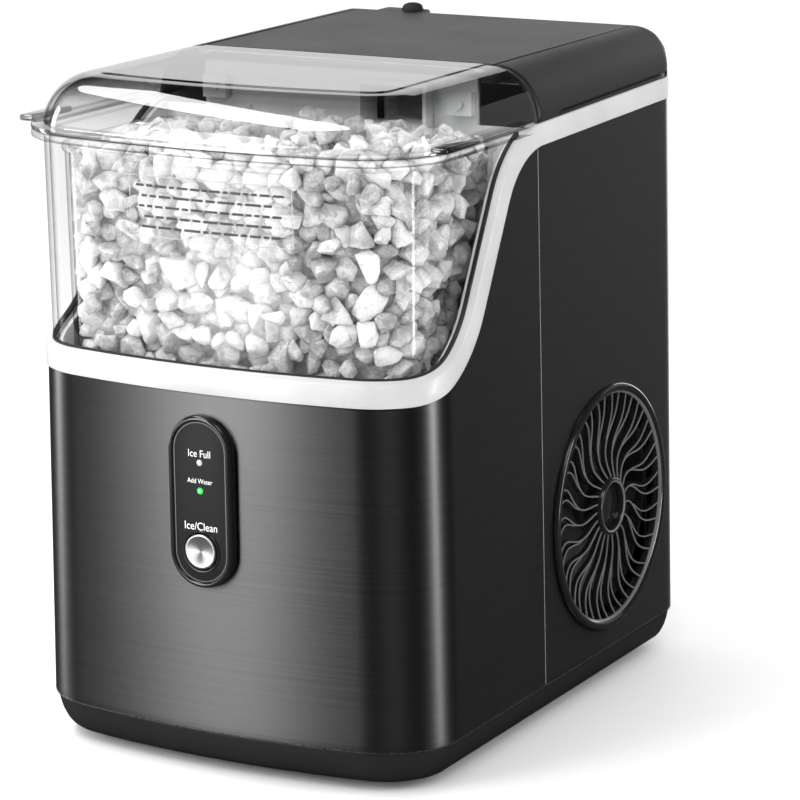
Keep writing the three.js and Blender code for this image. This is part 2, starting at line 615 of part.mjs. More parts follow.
function addCooling() {
  const profile = [[0, 13], [40, 13], [44, 20], [44, 104], [40, 118], [26, 127], [0, 130]];
  const can = new THREE.LatheGeometry(profile.map(([r, z]) => point(r, z)), 24).rotateX(Math.PI / 2);
  const drum = solid(can.translate(COMPRESSOR[0], COMPRESSOR[1], 0));
  const seat = box(-92, -12, 62, 106, 10.5, 14);
  add('compressor', join(drum.volume() > 0 ? drum : solid(can), seat), MATERIALS.blackPlastic);

  const core = box(70, 85.5, 8, 128, 38, 162);
  const gaps = Array.from({ length: 14 }, (_, i) => box(69, 83.5, 4, 132, 43 + i * 8.4, 47 + i * 8.4));
  add('condenser', cut(core, ...gaps), MATERIALS.steel);

  const fanAxis = [FAN_Y, FAN_Z];
  const plate = cut(box(86.3, 88.3, 6, 130, 38, 162), pipe('x', 54, 20, 80, 92, fanAxis, 32));
  const struts = [0, 1, 2].map((i) => {
    const strut = box(-1, 1, 18, 56, -3, 3).rotate([i * 120, 0, 0]);
    return strut.translate([87.3, FAN_Y, FAN_Z]);
  });
  add('fan_shroud', join(plate, ...struts, pipe('x', 60.5, 58, 88, 107, fanAxis, 36)), MATERIALS.blackPlastic);
  const motor = join(rod('x', 15, 88.6, 97, fanAxis, 20), rod('x', 2, 96, 103, fanAxis, 12));
  add('fan_motor', motor, MATERIALS.blackPlastic);
  const hub = cut(rod('x', 18, 98, 106.5, fanAxis, 24), rod('x', 2.3, 97, 104.5, fanAxis, 12));
  const blades = Array.from({ length: 7 }, (_, i) => {
    const blade = box(-0.8, 0.8, -12, 12, 16, 55).rotate([0, 0, 20]).rotate([(360 / 7) * i, 0, 0]);
    return blade.translate([102, FAN_Y, FAN_Z]);
  });
  add('condenser_fan', join(hub, ...blades), MATERIALS.blackPlastic);

  const discharge = [[-34, 84, 131], [-34, 84, 150], [-8, 88, 176], [40, 98, 184], [74, 104, 176], [76, 104, 162.5]];
  add('discharge_tube', tube(discharge, 3, 26), MATERIALS.copper);
  const suction = [[35, 54.5, 200], [34, 66, 203], [10, 84, 206], [-40, 96, 196], [-62, 98, 165], [-62, 96, 145], [-62, 96, 131]];
  add('suction_tube', tube(suction, 4, 26), MATERIALS.copper);
}

// A rib's centre line over the grille, waving as it runs outwards, as (y, z) points.
function ribLine(angle, from, to, steps = 6) {
  return Array.from({ length: steps + 1 }, (_, i) => {
    const t = from + ((to - from) * i) / steps;
    const r = 14.5 + (59.5 - 14.5) * t;
    const wave = angle + 0.15 * Math.sin(2 * Math.PI * t);
    return point(FAN_Y + r * Math.cos(wave), FAN_Z + r * Math.sin(wave));
  });
}

function strip(line, halfWidth) {
  const sides = line.map((p, i) => {
    const before = line[Math.max(i - 1, 0)];
    const after = line[Math.min(i + 1, line.length - 1)];
    const across = after.clone().sub(before).normalize();
    return [point(p.x + across.y * halfWidth, p.y - across.x * halfWidth),
      point(p.x - across.y * halfWidth, p.y + across.x * halfWidth)];
  });
  return [...sides.map((s) => s[0]), ...sides.map((s) => s[1]).reverse()];
}

const RIBS = 20;

function addGrille() {
  const axis = [FAN_Y, FAN_Z];
  const ribs = Array.from({ length: RIBS }, (_, i) =>
    sidePrism(strip(ribLine((2 * Math.PI * i) / RIBS, 0, 1), 0.9), 110.4, 113));
  const pieces = [
    pipe('x', GRILLE_R, 59, 113.3, 114.8, axis, 40),
    pipe('x', GRILLE_R - 4, 59, 109, 114, axis, 40),
    pipe('x', 15.5, 12.5, 109, 115, axis, 24),
    rod('x', 13, 109, 110.5, axis, 24),
  ];
  const upright = join(...pieces, ...ribs).translate([-HALF_W, -FAN_Y, -FAN_Z]);
  const lean = (Math.atan(SIDE_DRAFT) * 180) / Math.PI;
  const seatX = HALF_W + SIDE_DRAFT * (DRAFT_Z - FAN_Z);
  add('side_fan_grille', upright.rotate([0, -lean, 0]).translate([seatX, FAN_Y, FAN_Z]), MATERIALS.blackPlastic);
}

// ---- Drain ----
function addDrain() {
  const [x, z] = DRAIN;
  const end = [x, HOSE_Y];
  const elbow = join(
    rod('y', 5.7, BACK_Y - 8, BACK_Y + 1, DRAIN, 16),
    rod('y', 6.5, BACK_Y + GAP, HOSE_Y, DRAIN, 16),
    rod('z', 6.5, z - 6, z + 10, end, 16),
  );
  const bore = join(rod('y', 3, BACK_Y - 9, HOSE_Y, DRAIN, 12), rod('z', 3, z - 2, z + 12, end, 12));
  add('drain_outlet', cut(elbow, bore), MATERIALS.blackPlastic);
  const bottom = z + 10.4;
  const route = [[x, HOSE_Y, bottom], [x, HOSE_Y, bottom + 14], [x + 3, 160, 150], [x - 2, 160, 250],
    [x, HOSE_Y, 325], [x, HOSE_Y, 338]];
  add('drain_hose', tube(route, 4.5, 18, 12), MATERIALS.paleLens);
  const dome = rod('z', 5.9, 343.4, 347, end, 20, 3.4);
  add('drain_cap', join(rod('z', 5.9, 338.3, 343.5, end, 20), dome), MATERIALS.rubber);
}

addBase();
addPanels();
addRear();
addBand();
addWindow();
addLid();
addCover();
addLiner();
addBasket();
addChute();
addControls();
addWater();
addDrive();
addCooling();
addGrille();
addDrain();

export default model;
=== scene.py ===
"""A countertop nugget ice maker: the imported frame, with its outside rebuilt finely and materials on everything.

Lengths are in millimetres in the body's own frame, centred on the body in plan, +Z up, the front towards -Y.
place() turns them into the row frame's metres.
"""
import random
from math import asin, atan, atan2, cos, exp, hypot, pi, radians, sin, sqrt

import bmesh
import bpy
from mathutils import Matrix, Vector, noise


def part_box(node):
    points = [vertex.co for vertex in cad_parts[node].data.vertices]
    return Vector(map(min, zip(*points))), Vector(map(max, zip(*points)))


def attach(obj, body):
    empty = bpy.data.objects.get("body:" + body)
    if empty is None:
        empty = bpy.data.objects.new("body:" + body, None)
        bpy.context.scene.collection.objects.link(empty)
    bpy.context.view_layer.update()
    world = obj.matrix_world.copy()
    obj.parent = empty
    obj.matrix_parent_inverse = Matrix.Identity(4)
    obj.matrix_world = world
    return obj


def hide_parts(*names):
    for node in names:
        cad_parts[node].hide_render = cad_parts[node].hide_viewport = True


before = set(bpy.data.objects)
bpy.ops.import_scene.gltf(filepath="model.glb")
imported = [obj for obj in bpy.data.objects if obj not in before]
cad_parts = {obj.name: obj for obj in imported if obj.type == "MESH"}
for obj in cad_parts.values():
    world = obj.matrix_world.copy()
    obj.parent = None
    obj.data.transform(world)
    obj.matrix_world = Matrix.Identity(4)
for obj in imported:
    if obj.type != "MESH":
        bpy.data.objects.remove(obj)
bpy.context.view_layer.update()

# ---- Sizes shared with the CAD ----
MM = 0.001
SIDES = ("left", -1), ("right", 1)
HALF_W, DRAFT_Z, SIDE_DRAFT = 113.0, 227.0, 2.96 / 200
FRONT_Y, BACK_Y = -153.0, 153.0
BOW_R, CORNER_R, REAR_R = 473.0, 40.0, 15.0
TOP_Z, RIM_Z, SHOULDER = 343.0, 316.0, 26.0
METAL_Z = 23.0  # the metal panels' foot
BAND_W, BAND_SLOPE = 11.5, 0.02
LOW = {"y": -134.5, "z": 265.7, "r": 70.0}
HIGH = {"y": -6.0, "z": 259.0, "r": 45.0}
SEAM_Y, FLANGE_END_Y = -12.0, -28.0
PANEL_END_X = 95.85  # where the side panels stop on the rear
LID_BACK_Y, COVER_FRONT_Y, HINGE_Y, HINGE_Z = -12.4, -11.0, -14.0, 339.7
FAN_Z, GRILLE_R = 99.8, 66.0
HOSE_X, HOSE_Y = -54.0, 161.0
PILL_W, PILL_H, PILL_Z = 36.0, 87.5, 142.0
FACE_Y = -156.8
BUTTON_Z, BUTTON_R = 117.0, 9.0
WATER_LAMP_Z, FULL_LAMP_Z = 147.8, 162
MIDDLE_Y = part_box("rear_panel")[1].y / MM - BACK_Y  # the body's middle in the row frame
FAN_Y = sum(corner.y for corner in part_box("side_fan_grille")) / 2 / MM - MIDDLE_Y


def place(x, y, z):
    return Vector((x * MM, (y + MIDDLE_Y) * MM, z * MM))


# ---- The body's outline in plan ----
class Column:
    """A point of the outline with its outward direction; round is the radius at a corner, or else None."""

    def __init__(self, x, y, nx, ny, round_=None):
        self.x, self.y, self.nx, self.ny, self.round = x, y, nx, ny, round_

    def at(self, inset, z):
        """(x, y, z) in the body's frame, drawn in by inset, with the sides' draft."""
        if self.round is not None and inset > self.round - 0.5:
            inset = self.round - 0.5
        rear = self.round is None and self.ny > 0.5
        stretch = 1 if rear else 1 + SIDE_DRAFT * (DRAFT_Z - z) / HALF_W
        return (self.x - self.nx * inset) * stretch, self.y - self.ny * inset, z


def outline():
    """The closed outline, anticlockwise from above: the rear's middle, left side, front, right side."""
    bow_y = FRONT_Y + BOW_R
    cx = HALF_W - CORNER_R
    cy = bow_y - sqrt((BOW_R - CORNER_R) ** 2 - cx**2)
    lean = asin(cx / (BOW_R - CORNER_R))
    right = []
    for i in range(1, 25):
        a = -pi / 2 + lean * i / 24
        right.append(Column(BOW_R * cos(a), bow_y + BOW_R * sin(a), cos(a), sin(a)))
    for i in range(1, 29):
        a = -pi / 2 + lean + (pi / 2 - lean) * i / 28
        right.append(Column(cx + CORNER_R * cos(a), cy + CORNER_R * sin(a),
                            cos(a), sin(a), CORNER_R))
    stations = {round(cy + 2.2 * i, 3) for i in range(1, 110)} | {
        SEAM_Y - 0.3, SEAM_Y - 0.8, SEAM_Y + 0.3, SEAM_Y + 0.8, FLANGE_END_Y, LID_BACK_Y, COVER_FRONT_Y}
    for y in sorted(stations):
        if cy + 0.2 < y < BACK_Y - REAR_R - 0.2:
            right.append(Column(HALF_W, y, 1, 0))
    for i in range(13):
        a = pi / 2 * i / 12
        right.append(Column(HALF_W - REAR_R + REAR_R * cos(a), BACK_Y - REAR_R + REAR_R * sin(a),
                            cos(a), sin(a), REAR_R))
    right.append(Column(PANEL_END_X, BACK_Y, 0, 1))
    for i in range(1, 12):
        right.append(Column((HALF_W - REAR_R) * (1 - i / 12), BACK_Y, 0, 1))
    left = [Column(-c.x, c.y, -c.nx, c.ny, c.round) for c in reversed(right)]
    return [Column(0, BACK_Y, 0, 1)] + left + [Column(0, FRONT_Y, 0, -1)] + right


LOOP = outline()


def columns(test):
    return [c for c in LOOP if test(c)]


def band_z(y, offset):
    """Height of the trim band's lower edge, moved by offset square to it, at a distance y along the side."""
    dy, dz = HIGH["y"] - LOW["y"], HIGH["z"] - LOW["z"]
    climb = asin((LOW["r"] + HIGH["r"]) / hypot(dy, dz)) + atan2(dz, dy)
    low, high = LOW["r"] - offset, HIGH["r"] + offset
    y1, z1 = LOW["y"] + low * sin(climb), LOW["z"] - low * cos(climb)
    y2, z2 = HIGH["y"] - high * sin(climb), HIGH["z"] + high * cos(climb)
    if y <= LOW["y"]:
        return LOW["z"] - low
    if y < y1:
        return LOW["z"] - sqrt(low**2 - (y - LOW["y"]) ** 2)
    if y < y2:
        return z1 + (z2 - z1) * (y - y1) / (y2 - y1)
    if y < HIGH["y"]:
        return HIGH["z"] + sqrt(high**2 - (y - HIGH["y"]) ** 2)
    return HIGH["z"] + high + BAND_SLOPE * (y - HIGH["y"])


# ---- Mesh helpers ----
def new_object(name, data):
    obj = bpy.data.objects.new(name, data)
    bpy.context.scene.collection.objects.link(obj)
    return obj


def finish_mesh(name, bm, smooth=40, flip=True):
    """An object of the mesh, with edges sharper than smooth degrees kept; flip turns its faces outwards."""
    if flip:
        bmesh.ops.recalc_face_normals(bm, faces=bm.faces)
    mesh = bpy.data.meshes.new(name)
    bm.to_mesh(mesh)
    bm.free()
    mesh.shade_smooth()
    mesh.set_sharp_from_angle(angle=radians(smooth))
    return new_object(name, mesh)


def grid(bm, rows, wrap_rows=False, wrap=False):
    """Faces between rows of points in the body's frame.

    wrap joins each row's ends, and wrap_rows joins the last row to the first.
    """
    verts = [[bm.verts.new(place(*p)) for p in row] for row in rows]
    count = len(verts)
    for r in range(count if wrap_rows else count - 1):
        a, b = verts[r], verts[(r + 1) % count]
        n = len(a)
        for i in range(n if wrap else n - 1):
            j = (i + 1) % n
            bm.faces.new((a[i], a[j], b[j], b[i]))
    return verts


def capped(name, rows, smooth):
    """A closed piece: a skin over the rings, with a face on the first and the last."""
    bm = bmesh.new()
    verts = grid(bm, rows, wrap=True)
    bm.faces.new(verts[0])
    bm.faces.new(verts[-1])
    return finish_mesh(name, bm, smooth)


def skin(name, cols, section, loop=False, closed=True, smooth=40):
    """A piece that follows the outline: section(column) lists (inset, z) round its cross-section."""
    bm = bmesh.new()
    rows = [[c.at(inset, z) for inset, z in section(c)] for c in cols]
    verts = grid(bm, rows, wrap_rows=loop, wrap=closed)
    if not loop and closed:
        bm.faces.new(verts[0])
        bm.faces.new(verts[-1])
    if loop and not closed:
        bm.faces.new([row[0] for row in verts])
        bm.faces.new([row[-1] for row in verts])
    return finish_mesh(name, bm, smooth)


def lathe(name, profile, centre, axis, sides=64):
    """A turned piece: profile lists (radius, distance along axis) from centre; a radius of 0 closes it."""
    bm = bmesh.new()
    along = {"x": Matrix(((0, 0, 1), (1, 0, 0), (0, 1, 0))),
             "y": Matrix(((1, 0, 0), (0, 0, 1), (0, 1, 0))),
             "z": Matrix.Identity(3)}[axis]
    rows = []
    for r, d in profile:
        row = []
        for i in range(sides):
            a = 2 * pi * i / sides
            p = along @ Vector((max(r, 1e-4) * cos(a), max(r, 1e-4) * sin(a), d))
            row.append((centre[0] + p.x, centre[1] + p.y, centre[2] + p.z))
        rows.append(row)
    grid(bm, rows, wrap=True)
    bmesh.ops.remove_doubles(bm, verts=bm.verts, dist=1e-6)
    return finish_mesh(name, bm)


def rounded_box(name, low, high, radius):
    bm = bmesh.new()
    bmesh.ops.create_cube(bm, size=1)
    for v in bm.verts:
        v.co = place(*(low[k] + (high[k] - low[k]) * (v.co[k] + 0.5) for k in range(3)))
    bmesh.ops.bevel(bm, geom=bm.edges, offset=radius * MM, segments=3, profile=0.5, affect="EDGES")
    return finish_mesh(name, bm)


def join_objects(name, objects):
    """One object in place of several."""
    bm = bmesh.new()
    for o in objects:
        bm.from_mesh(o.data)
        mesh = o.data
        bpy.data.objects.remove(o)
        bpy.data.meshes.remove(mesh)
    return finish_mesh(name, bm, flip=False)


def paint(obj, material):
    """obj's first material is this one; any others it has stay."""
    if len(obj.data.materials):
        obj.data.materials[0] = material
    else:
        obj.data.materials.append(material)
    return obj


def piece(obj, material, *nodes, body="housing"):
    """obj gets its material and slot, rides on the body and stands for the CAD nodes named."""
    paint(obj, material)
    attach(obj, body)
    if nodes:
        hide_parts(*nodes)
    return obj


# ---- Material helpers ----
class Shader:
    """A material's node tree, with short ways to add nodes and link them."""

    def __init__(self, name, **sockets):
        self.material = bpy.data.materials.new(name)
        self.material.use_nodes = True
        self.tree = self.material.node_tree
        self.main = self.tree.nodes["Principled BSDF"]
        self.out = self.tree.nodes["Material Output"]
        self.set(self.main, sockets)

    def set(self, node, sockets):
        for key, value in sockets.items():
            key = key.replace("_", " ") if isinstance(key, str) else key
            socket = node.inputs[key]
            if isinstance(value, bpy.types.NodeSocket):
                self.tree.links.new(value, socket)
            else:
                socket.default_value = value

    def add(self, kind, sockets=None, **props):
        node = self.tree.nodes.new("ShaderNode" + kind)
        for key, value in props.items():
            setattr(node, key, value)
        self.set(node, sockets or {})
        return node

    def place_of(self, scale=(1, 1, 1)):
        """Object coordinates in metres, scaled."""
        where = self.add("TexCoord").outputs["Object"]
        return self.add("Mapping", {"Vector": where, "Scale": scale}).outputs[0]

    def noise(self, vector, scale, detail=4, rough=0.55):
        sockets = {"Vector": vector, "Scale": scale, "Detail": detail, "Roughness": rough}
        return self.add("TexNoise", sockets).outputs[0]

    def maths(self, operation, first, second):
        return self.add("Math", {0: first, 1: second}, operation=operation).outputs[0]

    def times(self, first, second):
        """One colour multiplied by another."""
        sockets = {0: 1.0, 6: first, 7: second}
        return self.add("Mix", sockets, data_type="RGBA", blend_type="MULTIPLY").outputs[2]

    def vector_maths(self, operation, *values):
        return self.add("VectorMath", dict(enumerate(values)), operation=operation)

    def span(self, value, low, high, from_low=0.3, from_high=0.7):
        """value, from from_low to from_high, moved to run from low to high."""
        sockets = {"Value": value, "From Min": from_low, "From Max": from_high, "To Min": low, "To Max": high}
        return self.add("MapRange", sockets).outputs[0]

    def colours(self, value, *stops):
        """A colour ramp over value, from (position, colour) stops."""
        ramp = self.add("ValToRGB", {"Fac": value})
        elements = ramp.color_ramp.elements
        while len(elements) < len(stops):
            elements.new(0.5)
        for element, (position, colour) in zip(elements, stops):
            element.position = position
            element.color = (*colour, 1) if len(colour) == 3 else colour
        return ramp.outputs[0]

    def greys(self, value, *stops):
        return self.colours(value, *[(position, grey(share)) for position, share in stops])

    def bump(self, height, strength, distance=0.0005, normal=None):
        sockets = {"Height": height, "Strength": strength, "Distance": distance}
        if normal is not None:
            sockets["Normal"] = normal
        return self.add("Bump", sockets).outputs[0]


def grey(v):
    return (v, v, v)


def brushed_black():
    """Black stainless steel, brushed along the panel, so that its highlights stretch up and down."""
    s = Shader("brushed_black_steel", Metallic=1.0, Anisotropic=0.9, Anisotropic_Rotation=0.25)
    fine = s.noise(s.place_of((2.5, 2.5, 4200)), 1.0, 3, 0.7)
    broad = s.noise(s.place_of((4, 4, 1500)), 1.0, 4, 0.6)
    cloud = s.noise(s.place_of(), 7.0, 2)
    streak = s.maths("MULTIPLY", s.maths("ADD", fine, broad), 0.5)
    colour = s.greys(streak, (0.34, 0.122), (0.5, 0.14), (0.66, 0.160))
    rough = s.maths("ADD", s.span(streak, 0.40, 0.48), s.span(cloud, -0.015, 0.02))
    tangent = s.add("Tangent", direction_type="RADIAL", axis="Z")
    s.set(s.main, {"Base Color": colour, "Roughness": rough, "Tangent": tangent.outputs[0],
                   "Normal": s.bump(streak, 0.10, 0.00003)})
    return s.material


def moulded(name, colour, rough=0.4, spread=0.06, grain=900.0, depth=0.08, coat=0.0, **sockets):
    """Moulded plastic: a fine grain, faint mottling and a slightly uneven gloss."""
    s = Shader(name, Coat_Weight=coat, Coat_Roughness=0.08, **sockets)
    cloud = s.noise(s.place_of(), 24.0, 4)
    fine = s.noise(s.place_of(), grain, 3, 0.6)
    low, high = [tuple(min(1.0, c * f) for c in colour) for f in (0.93, 1.05)]
    s.set(s.main, {"Base Color": s.colours(cloud, (0.35, low), (0.65, high)),
                   "Roughness": s.span(cloud, rough - spread / 2, rough + spread / 2),
                   "Normal": s.bump(fine, depth, 0.00012)})
    return s.material


def clear_plastic(name, head_on, edge_on, shine, rough=0.02, crest=False):
    """Clear plastic: it passes light and mirrors the lights on its outer side.

    It passes head_on of the light where it is seen square and edge_on where the view runs along it. With
    crest it passes less light in a band along the lid's rounded upper edge: painted shade for the dark
    refraction there.
    """
    s = Shader(name)
    facing = s.add("LayerWeight", {"Blend": 0.5}).outputs["Facing"]
    middling = 0.5 * (head_on + edge_on)
    passed = s.greys(facing, (0.0, head_on), (0.6, 0.97 * head_on), (0.85, middling), (1.0, edge_on))
    if crest:
        # Painted shade: by height, a darker band just below the lid's top, in place of the dark refraction at its
        # rounded edge.
        where = s.add("TexCoord").outputs["Object"]
        height = s.add("SeparateXYZ", {"Vector": where}).outputs["Z"]
        up = s.span(height, 0, 1, 0.322, 0.346)
        passed = s.times(passed, s.greys(up, (0.0, 1.0), (0.42, 0.86), (0.68, 0.52), (0.84, 0.5), (0.885, 0.98)))
    see = s.add("BsdfTransparent", {"Color": passed})
    wavy = s.bump(s.noise(s.place_of(), 14.0, 2), 0.08, 0.0005)
    mirror = s.add("BsdfGlossy", {"Color": (1, 1, 1, 1), "Roughness": rough, "Normal": wavy})
    mirrored = s.greys(facing, *[(at, min(1.0, shine * share)) for at, share in (
        (0.0, 0.05), (0.5, 0.075), (0.7, 0.19), (0.85, 0.45), (1.0, 1.0))])
    outer = s.maths("SUBTRACT", 1.0, s.add("NewGeometry").outputs["Backfacing"])
    share = s.maths("MULTIPLY", mirrored, outer)
    seen = s.add("MixShader", {0: share, 1: see.outputs[0], 2: mirror.outputs[0]})
    path = s.add("LightPath")
    lit = s.maths("MAXIMUM", path.outputs["Is Shadow Ray"], path.outputs["Is Diffuse Ray"])
    plain = s.add("BsdfTransparent", {"Color": (*grey(head_on), 1)})
    final = s.add("MixShader", {0: lit, 1: seen.outputs[0], 2: plain.outputs[0]})
    s.tree.links.new(final.outputs[0], s.out.inputs["Surface"])
    return s.material


def ice_material():
    """Crushed ice: cloudy white to clearer grey, with crystal facets and fine cracks."""
    s = Shader("ice", IOR=1.31, Subsurface_Weight=0.6, Subsurface_Radius=grey(1), Subsurface_Scale=0.010)
    where = s.place_of()
    stir = s.add("TexNoise", {"Vector": where, "Scale": 180.0, "Detail": 2}).outputs["Color"]
    bent = s.vector_maths("ADD", where, s.vector_maths("MULTIPLY", stir, grey(0.004)).outputs[0]).outputs[0]
    cloud = s.noise(where, 75.0, 5, 0.68)
    cells = s.add("TexVoronoi", {"Vector": bent, "Scale": 230.0})
    facet = s.add("SeparateColor", {"Color": cells.outputs["Color"]}).outputs[0]
    crack = s.add("TexVoronoi", {"Vector": bent, "Scale": 120.0}, feature="DISTANCE_TO_EDGE").outputs[0]
    tone = s.add("Attribute", attribute_name="tone").outputs["Fac"]
    mixed = s.maths("ADD", cloud, s.span(tone, -0.18, 0.16, 0, 1))
    mixed = s.maths("ADD", mixed, s.span(facet, -0.09, 0.09, 0, 1))
    base = s.greys(mixed, (0.20, 0.56), (0.44, 0.82), (0.64, 0.95))
    lines = s.greys(crack, (0.0, 0.80), (0.035, 1.0))
    steps = s.bump(facet, 0.55, 0.0007)
    grain = s.bump(s.noise(where, 420.0, 4, 0.7), 0.35, 0.0005, steps)
    s.set(s.main, {"Base Color": s.times(base, lines), "Roughness": s.span(cloud, 0.10, 0.38),
                   "Transmission Weight": s.span(mixed, 0.42, 0.04, 0.25, 0.6), "Normal": grain})
    return s.material


def spun_metal():
    """The button's face, turned in rings about Y."""
    s = Shader("button_metal", Metallic=1.0, Anisotropic=0.9)
    tangent = s.add("Tangent", direction_type="RADIAL", axis="Y")
    where = s.add("TexCoord").outputs["Generated"]
    centred = s.vector_maths("SUBTRACT", where, grey(0.5)).outputs[0]
    flat = s.vector_maths("MULTIPLY", centred, (1, 0, 1)).outputs[0]
    radius = s.vector_maths("LENGTH", flat).outputs["Value"]
    rings = s.noise(s.add("CombineXYZ", {"X": radius}).outputs[0], 90.0, 3, 0.7)
    s.set(s.main, {"Base Color": s.greys(rings, (0.3, 0.42), (0.7, 0.62)),
                   "Roughness": s.span(rings, 0.2, 0.34), "Tangent": tangent.outputs[0]})
    return s.material


def plain_metal(name, colour, rough=0.35, streak=(40, 40, 40)):
    """Bare metal with faint marks; streak is how closely they lie along each axis."""
    s = Shader(name, Metallic=1.0)
    fine = s.noise(s.place_of(streak), 12.0, 5, 0.6)
    low, high = [tuple(min(1.0, c * f) for c in colour) for f in (0.8, 1.1)]
    s.set(s.main, {"Base Color": s.colours(fine, (0.3, low), (0.7, high)),
                   "Roughness": s.span(fine, rough - 0.08, rough + 0.1),
                   "Normal": s.bump(fine, 0.08, 0.0001)})
    return s.material


def lamp_lens(name, colour, strength, z, hot=None):
    """A small glowing lens at height z; hot is the colour at its middle, if that differs."""
    s = Shader(name, Roughness=0.25, Base_Color=(*colour, 1), Emission_Strength=strength)
    where = s.add("TexCoord").outputs["Object"]
    away = s.vector_maths("DISTANCE", where, place(0, FACE_Y - 0.5, z)).outputs["Value"]
    rim = tuple(0.35 * c for c in colour)
    glow = s.colours(s.span(away, 0, 1, 0, 0.0018), (0.15, hot or colour), (0.6, colour), (1.0, rim))
    s.set(s.main, {"Emission Color": glow,
                   "Normal": s.bump(s.noise(where, 500.0, 2), 0.1, 0.0001)})
    return s.material


STEEL_BLACK = brushed_black()
TRIM = moulded("trim_white", (0.50, 0.50, 0.505), 0.34, 0.05, 700, 0.05, coat=0.15)
LINER_WHITE = moulded("liner_white", (0.72, 0.73, 0.74), 0.4, 0.06, 600, 0.06)
BASE_BLACK = moulded("base_black", (0.014, 0.014, 0.0145), 0.36, 0.06, 900, 0.12)
COVER_BLACK = moulded("cover_black", (0.011, 0.011, 0.0115), 0.42, 0.05, 1100, 0.10)
GLOSS_BLACK = moulded("gloss_black", (0.009, 0.009, 0.0095), 0.16, 0.03, 500, 0.02, coat=0.5)
FACE_BLACK = moulded("face_black", (0.012, 0.012, 0.0125), 0.45, 0.05, 900, 0.05, Specular_IOR_Level=0.16)
RUBBER = moulded("rubber", grey(0.012), 0.72, 0.1, 400, 0.25)
# The grips pass less light than the lid: painted shade for the dark look of their thick clear plastic.
TAB_CLEAR_PAINTED_DARK = clear_plastic("tab_clear_painted_dark", 0.55, 0.08, 1.6)
# The lid's crest band is painted shade for the dark refraction along its rounded top.
LID_CLEAR = clear_plastic("lid_clear", 0.965, 0.30, 1.35, crest=True)
WINDOW_CLEAR = clear_plastic("window_clear", 0.99, 0.45, 0.22, 0.16)
BASKET_CLEAR = clear_plastic("basket_clear", 0.99, 0.65, 0.6, 0.05)
ICE = ice_material()
BUTTON_METAL = spun_metal()
STEEL = plain_metal("steel", (0.62, 0.63, 0.65))
COPPER = plain_metal("copper", (0.75, 0.42, 0.25), 0.3)
FINS = plain_metal("condenser_fins", (0.6, 0.6, 0.62), 0.4, (4, 4, 400))
FOAM = moulded("insulation_foam", (0.05, 0.05, 0.052), 0.9, 0.08, 350, 0.6)
BOARD = moulded("circuit_board", (0.02, 0.13, 0.06), 0.4, 0.1, 300, 0.1)
GEAR = moulded("gear_plastic", (0.78, 0.74, 0.62), 0.42, 0.08, 600, 0.05)
MILKY = moulded("milky_plastic", (0.55, 0.56, 0.57), 0.35, 0.06, 500, 0.05, Transmission_Weight=0.25)
ENAMEL = moulded("black_enamel", (0.012, 0.012, 0.013), 0.28, 0.06, 250, 0.12, coat=0.3)
GREEN_LAMP = lamp_lens("green_lamp", (0.0, 1.0, 0.04), 1.1, WATER_LAMP_Z, (0.75, 1.0, 0.8))
GREY_LAMP = lamp_lens("grey_lamp", grey(0.42), 0.25, FULL_LAMP_Z)
PRINT = moulded("printed_marks", grey(0.82), 0.5, 0.05, 400, 0.02)
STICKER_EDGE = moulded("sticker_edge", grey(0.42), 0.5, 0.05, 400, 0.02)
INK = moulded("sticker_ink", grey(0.05), 0.6, 0.05, 400, 0.02)
# Pale grey: the control face's thin outline ring, and the grille's painted highlights.
OUTLINE_AND_HIGHLIGHT_GREY = moulded("outline_and_highlight_grey", (0.12, 0.12, 0.123), 0.32, 0.06, 700, 0.05)
SEAM_HIGHLIGHT_GREY = moulded("seam_painted_highlight", grey(0.22), 0.5, 0.05, 500, 0.05)
EDGE_HIGHLIGHT_METAL = plain_metal("painted_edge_highlight", (0.72, 0.72, 0.73), 0.3)

# ---- Metal panels ----
SHEET = 1.2  # thickness
FRONT_END_Y, SIDE_START_Y = SEAM_Y - 0.3, SEAM_Y + 0.3
VENT_SLOTS, VENT_PITCH, VENT_Y, VENT_WIDE, VENT_Z = 9, 9, 42, 3, (60, 132)  # in the left panel


def panel_section(end_y):
    """A panel's cross-section, with its outer face let in a little at the end where it meets the seam."""
    def section(c):
        drop = 0.5 if abs(c.y - end_y) < 0.05 else 0.0
        top = band_z(c.y, -0.3)
        return [(SHEET, METAL_Z), (0.5, METAL_Z), (0.1 + drop, METAL_Z + 0.25), (drop, METAL_Z + 0.7),
                (drop, METAL_Z + 4), (drop, (METAL_Z + top) / 2), (drop, top), (SHEET, top)]
    return section


def evaluated_mesh(obj):
    bpy.context.view_layer.update()
    return bpy.data.meshes.new_from_object(obj.evaluated_get(bpy.context.evaluated_depsgraph_get()))


def cut_hole(obj, cutter):
    """Cuts the cutter's shape out of obj and removes the cutter."""
    change = obj.modifiers.new("hole", "BOOLEAN")
    change.operation = "DIFFERENCE"
    change.object = cutter
    change.solver = "EXACT"
    done = evaluated_mesh(obj)
    obj.modifiers.clear()
    done.set_sharp_from_angle(angle=radians(35))
    obj.data = done
    bpy.data.objects.remove(cutter)
    return obj


